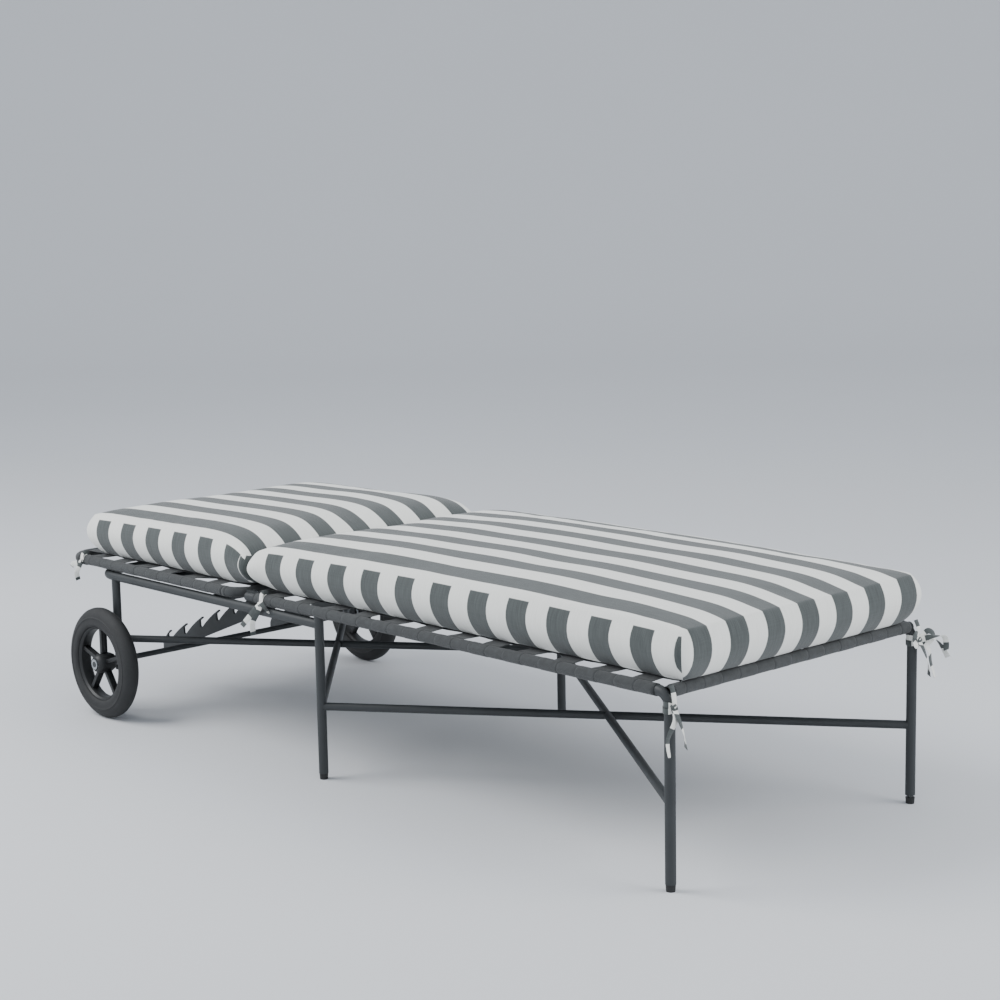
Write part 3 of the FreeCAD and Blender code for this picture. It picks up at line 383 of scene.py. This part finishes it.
def plait(body, long_node, cross_node, long_count, cross_count):
    (lx, ly, _), (hx, hy, _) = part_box(long_node)
    (cx, cy, _), (dx, dy, _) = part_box(cross_node)
    ys = np.linspace(ly + web_width / 2, hy - web_width / 2, long_count)
    xs = np.linspace(cx + web_width / 2, dx - web_width / 2, cross_count)
    made = []
    for node, count, centres, others, low, high, along, sign in (
            (long_node, long_count, ys, xs, lx, hx, 0, 1), (cross_node, cross_count, xs, ys, cy, dy, 1, -1)):
        pitch = others[1] - others[0]
        bands = []
        for index, centre in enumerate(centres):
            s = np.linspace(low, high, int((high - low) / (8 * MM)))
            wave = np.cos(math.pi * (s - others[0]) / pitch) * (1 if index % 2 == 0 else -1)
            wave = np.sign(wave) * np.abs(wave) ** 0.6
            path = np.zeros((len(s), 3))
            path[:, along], path[:, 1 - along] = s, centre
            path[:, 2] = plait_z + sign * lift * wave
            across = np.zeros((len(s), 3))
            across[:, 1 - along] = 1
            bands.append(strip(path, across, web_width, web_thick, 0.37 * index))
        piece = make_object(f"{node}_webbing", *join(bands), [webbing])
        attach(piece, body)
        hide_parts(node)
        made.append(piece)
    return made


seat_web = plait("frame", "seat_long_straps", "seat_cross_straps", 7, 12)
back_web = plait("backrest", "back_long_straps", "back_cross_straps", 7, 6)
print("plaited", [piece.name for piece in seat_web + back_web])

# %% [markdown]
# ## Webbing wound round the rails
# Every strap turns round its rail, and between the straps the rail is bound with more webbing, so
# no paint shows on it. A swept tube with a low step and a tight groove at each edge of the webbing
# gives those turns. The grooves lean a little, because webbing winds on at a slant.

# %% Wind the rails
def wound(path, phase, pitch=45.75 * MM, inner=9.7 * MM):
    """A hollow bound sleeve along a path of centre points."""
    path = np.array(path, float)
    length = np.concatenate([[0], np.cumsum(np.linalg.norm(np.diff(path, axis=0), axis=1))])
    total = length[-1]
    stops = [0.0, total]
    edges = np.arange(phase % pitch, total, pitch)
    for edge in edges:
        stops.extend(edge + d * MM for d in (-2.4, -0.9, 0.0, 0.9, 2.4))
    stops.extend(np.arange(0, total, 6 * MM))
    stops = np.unique(np.round([s for s in stops if 0 <= s <= total], 5))
    centres = np.stack([np.interp(stops, length, path[:, i]) for i in range(3)], axis=1)
    runs = np.gradient(centres, axis=0)
    runs /= np.linalg.norm(runs, axis=1)[:, None]
    up = np.array([0, 0, 1.0])
    sides = np.cross(up, runs)
    sides /= np.linalg.norm(sides, axis=1)[:, None]
    turns = 28
    points, cuts, faces = [], [], []
    for index, s in enumerate(stops):
        for turn in range(turns):
            angle = 2 * math.pi * turn / turns
            lean = s + 2.2 * MM * math.cos(angle)
            near = min(edges, key=lambda e: abs(e - s)) if len(edges) else -1
            groove = max(0.0, 1 - abs(s - near) / (1.6 * MM))
            band = int(math.floor((s - phase) / pitch)) % 2
            radius = (11.35 if band else 10.9) * MM - 0.75 * MM * groove
            spot = centres[index] + runs[index] * (lean - s) * (0 if index in (0, len(stops) - 1) else 1)
            points.append(spot + radius * (math.cos(angle) * sides[index] + math.sin(angle) * up))
            cuts.append((s, angle * 11 * MM, 0))
    for index in range(len(stops) - 1):
        for turn in range(turns):
            a, b = index * turns + turn, index * turns + (turn + 1) % turns
            faces.append((a, b, b + turns, a + turns))
    last = (len(stops) - 1) * turns
    for ring, centre, flip in ((0, centres[0], True), (last, centres[-1], False)):
        start = len(points)
        for turn in range(turns):
            points.append(centre + (np.array(points[ring + turn]) - centre) * inner / (11 * MM))
            cuts.append(cuts[ring + turn])
        for turn in range(turns):
            a, b = ring + turn, ring + (turn + 1) % turns
            c, d = start + (turn + 1) % turns, start + turn
            faces.append((a, d, c, b) if flip else (a, b, c, d))
    return points, faces, cuts


def line(a, b, count=2):
    return [np.array(a) + (np.array(b) - np.array(a)) * t for t in np.linspace(0, 1, count)]


def wind(node, body, paths):
    piece = make_object(f"{node}_binding", *join([wound(path, phase) for path, phase in paths]), [webbing])
    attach(piece, body)
    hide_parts(node)
    return piece


(sx, _, _), (tx, _, _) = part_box("seat_side_wraps")
foot_x = (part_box("foot_rail")[0][0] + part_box("foot_rail")[1][0]) / 2
split_x = (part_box("seat_head_rail")[0][0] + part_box("seat_head_rail")[1][0]) / 2
wind("seat_side_wraps", "frame", [(line((tx, s * side_y, rail_z), (sx, s * side_y, rail_z)), tx - 0.8885)
                                  for s in (-1, 1)])
foot_y = side_y - 10 * MM
wind("seat_end_wraps", "frame", [
    (line((foot_x, -foot_y, rail_z), (foot_x, foot_y, rail_z)), 0.0285),
    (line((split_x, -0.313, rail_z), (split_x, 0.313, rail_z)), 0.02)])
(bx, _, _), (cx, _, _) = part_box("back_side_wraps")
wind("back_side_wraps", "backrest", [(line((cx, s * side_y, rail_z), (bx, s * side_y, rail_z)), 0.01)
                                     for s in (-1, 1)])


def end_path(x, inward, corner=45 * MM):
    """Round one corner of the backrest, along its end, and round the other corner."""
    points = []
    for s in (-1, 1):
        arc = [np.array([x + inward * corner * (1 - math.cos(a)), s * (side_y - corner + corner * math.sin(a)), rail_z])
               for a in np.linspace(math.pi / 2, 0, 12)]
        points.extend(arc if s < 0 else arc[::-1])
    return points


head_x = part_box("back_head_rail")[0][0] + 9.5 * MM
joint_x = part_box("back_foot_rail")[1][0] - 9.5 * MM
wind("back_head_wrap", "backrest", [(end_path(head_x, 1), 0.01)])
wind("back_foot_wrap", "backrest", [(end_path(joint_x, -1), 0.01)])
print("wound the rails, seat wrap from", round(sx, 4), "to", round(tx, 4))

# %% [markdown]
# ## The mattress
# Two boxed foam cushions meet over the hinge. Each is a top panel, a bottom panel and a boxing
# strip sewn between them. The panels are laid out as one grid wrapped round a box, so every seam
# is a line of real edges: the boxing bulges out between its two seams, the bottom tucks in over
# the webbing, and the top crowns a little. Pressure in a short cloth simulation then stuffs it.

# %% Mattress shape
hinge_x = frame["record"]["behaviour"]["joints"][0]["pos_m"][0]
cushion_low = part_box("seat_cushion")[0][2] + 0.7 * MM
print("hinge at", hinge_x, "mattress rests at", round(cushion_low, 4))


def grid_box(nx, ny, nz):
    """Points of a box's skin as shares (u, v, w), and its faces, each with the side it is on."""
    index = {}
    shares, faces, sides = [], [], []

    def vertex(i, j, k):
        if (i, j, k) not in index:
            index[i, j, k] = len(shares)
            shares.append((i / nx, 2 * j / ny - 1, k / nz))
        return index[i, j, k]

    for side, (na, nb, at) in {
            "bottom": (nx, ny, lambda a, b: (a, b, 0)), "top": (nx, ny, lambda a, b: (a, b, nz)),
            "near": (nx, nz, lambda a, b: (a, 0, b)), "far": (nx, nz, lambda a, b: (a, ny, b)),
            "start": (ny, nz, lambda a, b: (0, a, b)), "end": (ny, nz, lambda a, b: (nx, a, b))}.items():
        for a in range(na):
            for b in range(nb):
                corners = [vertex(*at(a, b)), vertex(*at(a + 1, b)), vertex(*at(a + 1, b + 1)), vertex(*at(a, b + 1))]
                faces.append(corners if side in ("top", "near", "end") else corners[::-1])
                sides.append(side)
    return np.array(shares), faces, sides


def boxing(w, low, rise, fall):
    """How far out the boxing stands at a share w of its height."""
    return low + rise * w - fall * w * w


def cushion_points(shares, outer_end, corner=22 * MM):
    """The sewn shape of a cushion that runs from the hinge to its outer end."""
    u, v, w = shares.T
    way = math.copysign(1, outer_end - hinge_x)
    reach = abs(outer_end - hinge_x) + boxing(w, -27 * MM, 87 * MM, 74 * MM)
    split = 0.8 * MM + 5 * MM * (1 - np.sin(math.pi * np.clip(w, 0, 1)) ** 0.5)
    along = split + (reach - split) * u
    half = boxing(w, 310 * MM, 112 * MM, 96 * MM)
    across = np.abs(v) * half
    inside_end, inside_side = reach - along, half - across
    round_end = (inside_end < corner) & (inside_side < corner)
    dx, dy = corner - inside_end, corner - inside_side
    pull = np.where(round_end, np.maximum(dx, dy) / np.maximum(np.hypot(dx, dy), 1e-9), 1)
    along = np.where(round_end, reach - corner + dx * pull, along)
    across = np.where(round_end, half - corner + dy * pull, across)
    seat = way > 0
    dip = (22 if seat else 27) * MM * np.exp(-(along / ((30 if seat else 44) * MM)) ** 1.3)
    rise = 442 * MM + 11 * MM * np.sin(math.pi * np.clip(u, 0, 1) ** (1.0 if seat else 0.45)) ** 0.7
    crown = 9 * MM * (1 - np.abs(v) ** 3) * (1 - np.abs(2 * u - 1) ** 4)
    top = rise + crown - dip
    bottom = cushion_low + 7 * MM * np.exp(-(along / (60 * MM)) ** 2)
    z = bottom + w * (top - bottom)
    return np.stack([hinge_x + way * along, np.sign(v) * across, z], axis=1)


# Plain charcoal canvas that stands for painted shade in the split between the two cushions.
split_shade_canvas = canvas("charcoal canvas as painted split shade", "X", 0.0, 10.0)
turning_canvas = canvas("warm white canvas", "X", 5.0, 10.0)


def cushion(name, outer_end, nx, side_canvas):
    shares, faces, sides = grid_box(nx, 56, 9)
    points = cushion_points(shares, outer_end)
    way = math.copysign(1, outer_end - hinge_x)
    if way < 0:
        faces = [face[::-1] for face in faces]
    cuts = np.stack([points[:, 0], points[:, 1], (1 - shares[:, 2]) * 100 * MM], axis=1)
    slots = []
    for face, side in zip(faces, sides):
        from_hinge = abs(points[face, 0].mean() - hinge_x)
        on_side = side in ("near", "far")
        # Slot 2 paints the back cushion's end in the split charcoal, and slot 3 paints its boxing within 9 mm of the
        # split charcoal: painted shade in the split. On the seat, slot 3 is warm white canvas on the boxing within 36
        # mm of the split.
        edge = on_side and from_hinge < (36 if way > 0 else 9) * MM
        slots.append((3 if edge else 1) if on_side else (2 if side == "start" and way < 0 else 0))
    turning_and_split_shade_canvas = turning_canvas if way > 0 else split_shade_canvas
    return make_object(name, points, faces, cuts, [top_canvas, side_canvas, split_shade_canvas, turning_and_split_shade_canvas], slots)


foot_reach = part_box("seat_cushion")[1][0] - 2 * MM
head_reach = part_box("back_cushion")[0][0] - 1 * MM
seat_pad = cushion("seat_pad", foot_reach, 104, seat_side_canvas)
back_pad = cushion("back_pad", head_reach, 56, back_side_canvas)
print("cushion grids", len(seat_pad.data.vertices), len(back_pad.data.vertices))

# %% [markdown]
# ### Stuffing
# Cloth with pressure inside blows each cover up until the seams hold it, which gives the slight
# swelling and the pulls at the corners that foam gives. Gravity is off, no point may move more
# than a few millimetres, and the modifier is gone afterwards: only its shape stays.

# %% Stuff the cushions
def stuff(piece, cap_mm, low_z, stay):
    mesh = piece.data
    before = np.array([v.co for v in mesh.vertices])
    after = before.copy()
    cloth = piece.modifiers.new("stuffing", "CLOTH")
    cloth.settings.quality = 4
    cloth.settings.mass = 0.3
    cloth.settings.tension_stiffness = 25
    cloth.settings.compression_stiffness = 25
    cloth.settings.shear_stiffness = 10
    cloth.settings.bending_stiffness = 1
    cloth.settings.use_pressure = True
    cloth.settings.uniform_pressure_force = 4
    cloth.settings.effector_weights.gravity = 0
    cloth.point_cache.frame_start, cloth.point_cache.frame_end = 1, 20
    for step in range(1, 21):
        bpy.context.scene.frame_set(step)
    evaluated = piece.evaluated_get(bpy.context.evaluated_depsgraph_get())
    after = np.array([v.co for v in evaluated.data.vertices])
    piece.modifiers.remove(cloth)
    bpy.context.scene.frame_set(1)
    moved = after - before
    size = np.linalg.norm(moved, axis=1)[:, None]
    print(piece.name, "swelled by up to", round(float(size.max()) * 1000, 1), "mm")
    points = before + moved * np.minimum(1, cap_mm * MM / np.maximum(size, 1e-9))
    points[:, 2] = np.maximum(points[:, 2], low_z)
    points[:, 0] = stay(points[:, 0])
    mesh.vertices.foreach_set("co", points.ravel())
    mesh.update()
    piece.modifiers.new("smooth", "SUBSURF").levels = 1
    piece.modifiers["smooth"].render_levels = 1
    return points


stuff(seat_pad, 9, cushion_low, lambda x: np.maximum(x, hinge_x + 0.7 * MM))
stuff(back_pad, 9, cushion_low, lambda x: np.minimum(x, hinge_x - 0.7 * MM))

# %% [markdown]
# ### Seams
# A seam pulls the cover in along its thread, and the canvas puckers beside it. Points near the top
# and bottom seams are rippled by noise, and the seam edges are creased so that subdivision leaves
# them crisp.

# %% Seams and puckers
from mathutils import Vector, noise


def sew(piece, shares, count):
    mesh = piece.data
    normals = [v.normal.copy() for v in mesh.vertices]
    for vertex, (u, v, w), normal in zip(mesh.vertices, shares, normals):
        seam = min(1 - w if abs(v) > 0.999 or u > 0.999 else (1 - abs(v)) * 6, 1.0)
        seam = min(seam, (1 - u) * count / 10) if w > 0.999 else seam
        near = math.exp(-(seam / 0.22) ** 2)
        pucker = noise.noise(Vector(vertex.co) * 38) * 1.5 * MM * near
        slack = noise.noise(Vector(vertex.co) * 7) * 2.2 * MM * (0.25 if w < 0.5 else 1)
        vertex.co += normal * (pucker + slack)
        vertex.co.z = max(vertex.co.z, cushion_low)
    crease = mesh.attributes.new("crease_edge", "FLOAT", "EDGE")
    ends = np.array([e.vertices[:] for e in mesh.edges])
    w, v, u = shares[:, 2], np.abs(shares[:, 1]), shares[:, 0]
    rim = (w > 0.999) & ((v > 0.999) | (u > 0.999) | (u < 0.001))
    crease.data.foreach_set("value", np.where(rim[ends[:, 0]] & rim[ends[:, 1]], 0.75, 0.0).astype(np.float32))


for pad, count in ((seat_pad, 104), (back_pad, 56)):
    sew(pad, grid_box(count, 56, 9)[0], count)
    bpy.context.view_layer.objects.active = pad
    with bpy.context.temp_override(object=pad, active_object=pad, selected_objects=[pad]):
        bpy.ops.object.modifier_apply(modifier="smooth")
for pad, names in ((seat_pad, ("seat_cushion", "seat_cushion_end")), (back_pad, ("back_cushion", "back_cushion_end"))):
    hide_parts(*names)
    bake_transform(pad)
print("sewn", seat_pad.name, back_pad.name)

# %% [markdown]
# ## Ribbons
# Striped ribbons of the mattress canvas tie it to the frame: round each leg at the foot end, and
# round the side rails at the split and at the head. Each is a band swept along a smooth line, with
# a small band wound round it for the knot.

# %% Tie the ribbons
def smooth_line(points, steps=26):
    """A smooth line through the points (Catmull-Rom)."""
    p = np.array([points[0], *points, points[-1]], float)
    out = []
    for k in range(1, len(p) - 2):
        for t in np.linspace(0, 1, steps // (len(p) - 3) + 2, endpoint=k == len(p) - 3):
            a, b, c, d = p[k - 1:k + 3]
            out.append(0.5 * (2 * b + (c - a) * t + (2 * a - 5 * b + 4 * c - d) * t ** 2
                              + (3 * b - a - 3 * c + d) * t ** 3))
    return np.array(out)


def ribbon(points, facing, twist=0.0, width=11 * MM, start=0.0):
    """A ribbon along points; facing is the direction that its face looks in, twist in turns."""
    path = smooth_line(points)
    runs = np.gradient(path, axis=0)
    runs /= np.linalg.norm(runs, axis=1)[:, None]
    across = np.cross(runs, np.array(facing, float))
    across /= np.maximum(np.linalg.norm(across, axis=1)[:, None], 1e-9)
    face = np.cross(across, runs)
    turn = np.linspace(0, twist * 2 * math.pi, len(path))[:, None]
    across = across * np.cos(turn) + face * np.sin(turn)
    return strip(path, across, width, 0.8 * MM, start)


def hoop(centre, radius, tilt, start, axis=(0, 0, 1)):
    """A ribbon wound once round a leg or rail."""
    angles = np.linspace(0, 2 * math.pi, 29)
    axis = np.array(axis, float)
    one = np.cross(axis, [0.0, 1.0, 0.0] if abs(axis[1]) < 0.9 else [1.0, 0, 0])
    one /= np.linalg.norm(one)
    two = np.cross(axis, one)
    path = [np.array(centre) + radius * (math.cos(a) * one + math.sin(a) * two) + tilt * math.sin(a) * axis
            for a in angles]
    return strip(path, np.tile(axis, (len(path), 1)), 10 * MM, 0.8 * MM, start)


def tie(name, body, bands, node=None):
    piece = make_object(name, *join(bands), [ribbon_canvas])
    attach(piece, body)
    if node:
        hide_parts(node)
    return piece


leg_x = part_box("foot_near_front")[0][0] + 9 * MM
bands = []
for s, bow in ((-1, False), (1, True)):
    y = s * side_y
    out = s
    bands.append(hoop((leg_x, y, 0.318), 10.6 * MM, 3 * MM, 0.01 * s))
    bands.append(hoop((leg_x, y, 0.314), 11.6 * MM, -4 * MM, 0.04))
    bands.append(ribbon([(leg_x + 6 * MM, y + out * 2 * MM, 0.354), (leg_x + 12 * MM, y + out * 3 * MM, 0.338),
                         (leg_x + 11.5 * MM, y, 0.320)], (1, 0, 0)))
    knot = np.array([leg_x + 12 * MM, y + out * 3 * MM, 0.316])
    bands.append(hoop(knot, 5.2 * MM, 1 * MM, 0.03, (0.2, 1, 0.3)))
    bands.append(hoop(knot, 4.4 * MM, 1 * MM, 0.0, (0.3, -0.5, 1)))
    tails = [((14, 12 * out, -16), (10, 26 * out, -46), (17, 30 * out, -74)),
             ((16, -6, -14), (24, -2, -40), (19, 8, -66))]
    if bow:
        tails += [((10, 24, 4), (16, 44, -10), (26, 58, -38)), ((22, 14, 8), (34, 34, 6), (30, 46, -22))]
    for number, tail in enumerate(tails):
        line_points = [knot, *[knot + np.array(t) * MM for t in tail]]
        bands.append(ribbon(line_points, (1, -0.4, 0.2), 0.12 * (number + 1), start=0.026 * number))
    if bow:
        for turn in (-1, 1):
            loop = [knot, knot + np.array([8, 16 * turn, 16]) * MM, knot + np.array([12, 30 * turn, 8]) * MM,
                    knot + np.array([9, 20 * turn, -6]) * MM, knot + np.array([2, 2, 0]) * MM]
            bands.append(ribbon(loop, (1, 0, 0.3), start=0.02))
split_tie = split_x + 42 * MM
for s in (-1, 1):
    knot = np.array([split_tie, s * (side_y + 13 * MM), 0.334])
    bands.append(hoop((split_tie, s * side_y, rail_z), 12.4 * MM, 2 * MM, 0.02, (1, 0, 0)))
    bands.append(ribbon([(split_tie + 4 * MM, s * (side_y - 4 * MM), 0.3545), (split_tie, s * (side_y + 9 * MM), 0.354),
                         knot], (0, s, 0.2)))
    bands.append(hoop(knot, 5 * MM, 1 * MM, 0.03, (1, 0, 0.3)))
    for number, tail in enumerate((((-12, 6, -12), (-34, 9, -34), (-62, 4, -54)), ((-4, 6, -18), (-16, 10, -40), (-22, 5, -66)),
                                   ((10, 7, 4), (24, 8, -3), (34, 4, -14)))):
        line_points = [knot, *[knot + np.array([t[0], t[1] * s, t[2]]) * MM for t in tail]]
        bands.append(ribbon(line_points, (0.2, s, 0.3), 0.1 * (number + 1), start=0.026 + 0.052 * (number == 2)))
tie("seat_ribbons", "frame", bands, "seat_ties")
head_tie = bx + 14 * MM
bands = []
for s in (-1, 1):
    knot = np.array([head_tie, s * (side_y + 13 * MM), 0.336])
    bands.append(hoop((head_tie, s * side_y, rail_z), 12.4 * MM, 2 * MM, 0.02, (1, 0, 0)))
    bands.append(ribbon([(head_tie + 4 * MM, s * (side_y - 4 * MM), 0.3545), (head_tie, s * (side_y + 9 * MM), 0.354),
                         knot], (0, s, 0.2)))
    bands.append(hoop(knot, 5 * MM, 1 * MM, 0.03, (1, 0, 0.3)))
    for number, tail in enumerate((((-12, 5, -4), (-24, 8, -6), (-36, 5, -14)), ((-3, 6, -12), (-9, 9, -26), (-8, 6, -42)))):
        line_points = [knot, *[knot + np.array([t[0], t[1] * s, t[2]]) * MM for t in tail]]
        bands.append(ribbon(line_points, (0.2, s, 0.3), 0.1 * (number + 1), start=0.052 * number))
tie("head_ribbons", "backrest", bands, "back_ties")
print("tied the ribbons")

# %% [markdown]
# ## Wheels
# A solid rubber tyre is a turned shape: a rounded tread, a raised ring on each shoulder and a bead
# that grips the rim. Its section is turned round the axle. The rim is one moulding: a ring, a hub
# and five thin spokes, each a rib with a narrow flange along it.

# %% Turn and mould the wheels
def turned(profile, centre, segments=96):
    """A closed section of (y, r) points turned round the Y axis."""
    points, cuts, faces = [], [], []
    count = len(profile)
    for step in range(segments):
        angle = 2 * math.pi * step / segments
        for y, r in profile:
            points.append(np.array(centre) + (r * math.cos(angle), y, r * math.sin(angle)))
            cuts.append((angle * r, y, 0))
    for step in range(segments):
        for k in range(count):
            a, b = step * count + k, step * count + (k + 1) % count
            c, d = ((step + 1) % segments) * count + (k + 1) % count, ((step + 1) % segments) * count + k
            faces.append((a, b, c, d))
    return points, faces, cuts


side_of_tyre = [(0, 125), (6, 124), (12, 120), (16.5, 114.5), (19, 108.5), (19.3, 106), (20.8, 105), (20.8, 102.5),
                (19.8, 101.5), (20.8, 96), (20.4, 89), (18, 85), (15, 83.3)]
tyre_section = [(y * MM, r * MM) for y, r in side_of_tyre] + [(-y * MM, r * MM) for y, r in side_of_tyre[:0:-1]]
ring_section = [(-15, 83), (15, 83), (15, 81), (13, 80), (11, 77.5), (-11, 77.5), (-13, 80), (-15, 81)]
hub_section = [(-24, 11), (-24, 15), (-22, 17.5), (-14, 21.5), (14, 21.5), (22, 17.5), (24, 15), (24, 11)]
for side in ("near", "far"):
    low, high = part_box(f"rim_{side}")
    centre = [(low[i] + high[i]) / 2 for i in range(3)]
    tyre = make_object(f"tyre_{side}_tread", *turned(tyre_section, centre), [rubber])
    parts = [turned([(y * MM, r * MM) for y, r in section], centre) for section in (ring_section, hub_section)]
    for spoke in range(5):
        angle = math.pi / 2 + 2 * math.pi * spoke / 5
        out = np.array([math.cos(angle), 0, math.sin(angle)])
        flat = np.array([-math.sin(angle), 0, math.cos(angle)])
        radii = np.linspace(20 * MM, 78.5 * MM, 8)
        web_path = [np.array(centre) + out * r for r in radii]
        parts.append(strip(web_path, np.tile([0, 1.0, 0], (8, 1)), 15 * MM, 4 * MM))
        for face in (-1, 1):
            flange = [point + np.array([0, face * 6.5 * MM, 0]) for point in web_path]
            parts.append(strip(flange, np.tile(flat, (8, 1)), 9 * MM, 2.2 * MM))
    rim = make_object(f"rim_{side}_moulding", *join(parts), [nylon])
    for piece, node, slot in ((tyre, f"tyre_{side}", "tyre"), (rim, f"rim_{side}", "rim_plastic")):
        piece.modifiers.new("soft edges", "BEVEL").width = 0.5 * MM
        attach(piece, f"wheel_{side}")
        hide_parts(node)
print("wheels turned")

# %% [markdown]
# ## Floor and light
# A pale, plain studio: paper that lies flat under the lounger and sweeps up behind it so that no
# horizon shows, a soft grey-blue surround, one large light high on the head side, and a weaker one
# from the foot end to open up the shadows.

# %% Studio
FLAT, SWEEP, REACH = 9, 6, 30      # metres: level paper behind the lounger, radius of its rise, its extent
gaze = camera.matrix_world.to_quaternion() @ Vector((0, 0, -1))
away = Vector((gaze.x, gaze.y, 0)).normalized()
aside = Vector((-away.y, away.x, 0))
rise = [(FLAT + SWEEP * math.sin(t), SWEEP * (1 - math.cos(t))) for t in np.linspace(0, math.pi / 2, 25)]
profile = [(-REACH, 0), *rise, (FLAT + SWEEP, REACH)]
corners = [away * run + aside * width + Vector((0, 0, height))
           for run, height in profile for width in (-REACH, REACH)]
panels = [(2 * k, 2 * k + 1, 2 * k + 3, 2 * k + 2) for k in range(len(profile) - 1)]
floor = make_object("floor", corners, panels, [(0, 0, 0)] * len(corners), [])
paper, tree, shader = new_finish("matt studio paper", Roughness=0.9)
place = add(tree, "ShaderNodeTexCoord").outputs["Object"]
two_tones(tree, shader, grains(tree, place, 900).outputs["Fac"], "#d6d8db", "#dadcdf")
floor.data.materials.append(paper)
world = bpy.data.worlds.new("studio")
bpy.context.scene.world = world
world.use_nodes = True
world.node_tree.nodes["Background"].inputs["Color"].default_value = linear("#d3d8df")
world.node_tree.nodes["Background"].inputs["Strength"].default_value = 1.35


def soft_light(name, at, aim, size, power):
    light = bpy.data.lights.new(name, "AREA")
    light.shape = "DISK"
    light.size = size
    light.energy = power
    lamp = bpy.data.objects.new(name, light)
    bpy.context.collection.objects.link(lamp)
    lamp.location = at
    lamp.rotation_mode = "QUATERNION"
    lamp.rotation_quaternion = (Vector(aim) - Vector(at)).to_track_quat("-Z", "Y")


soft_light("key", (-2.2, -2.6, 3.6), (0, 0, 0.3), 3.0, 180)
soft_light("foot fill", (3.6, 1.6, 2.6), (0.3, 0, 0.3), 3.0, 98)
print("lit")
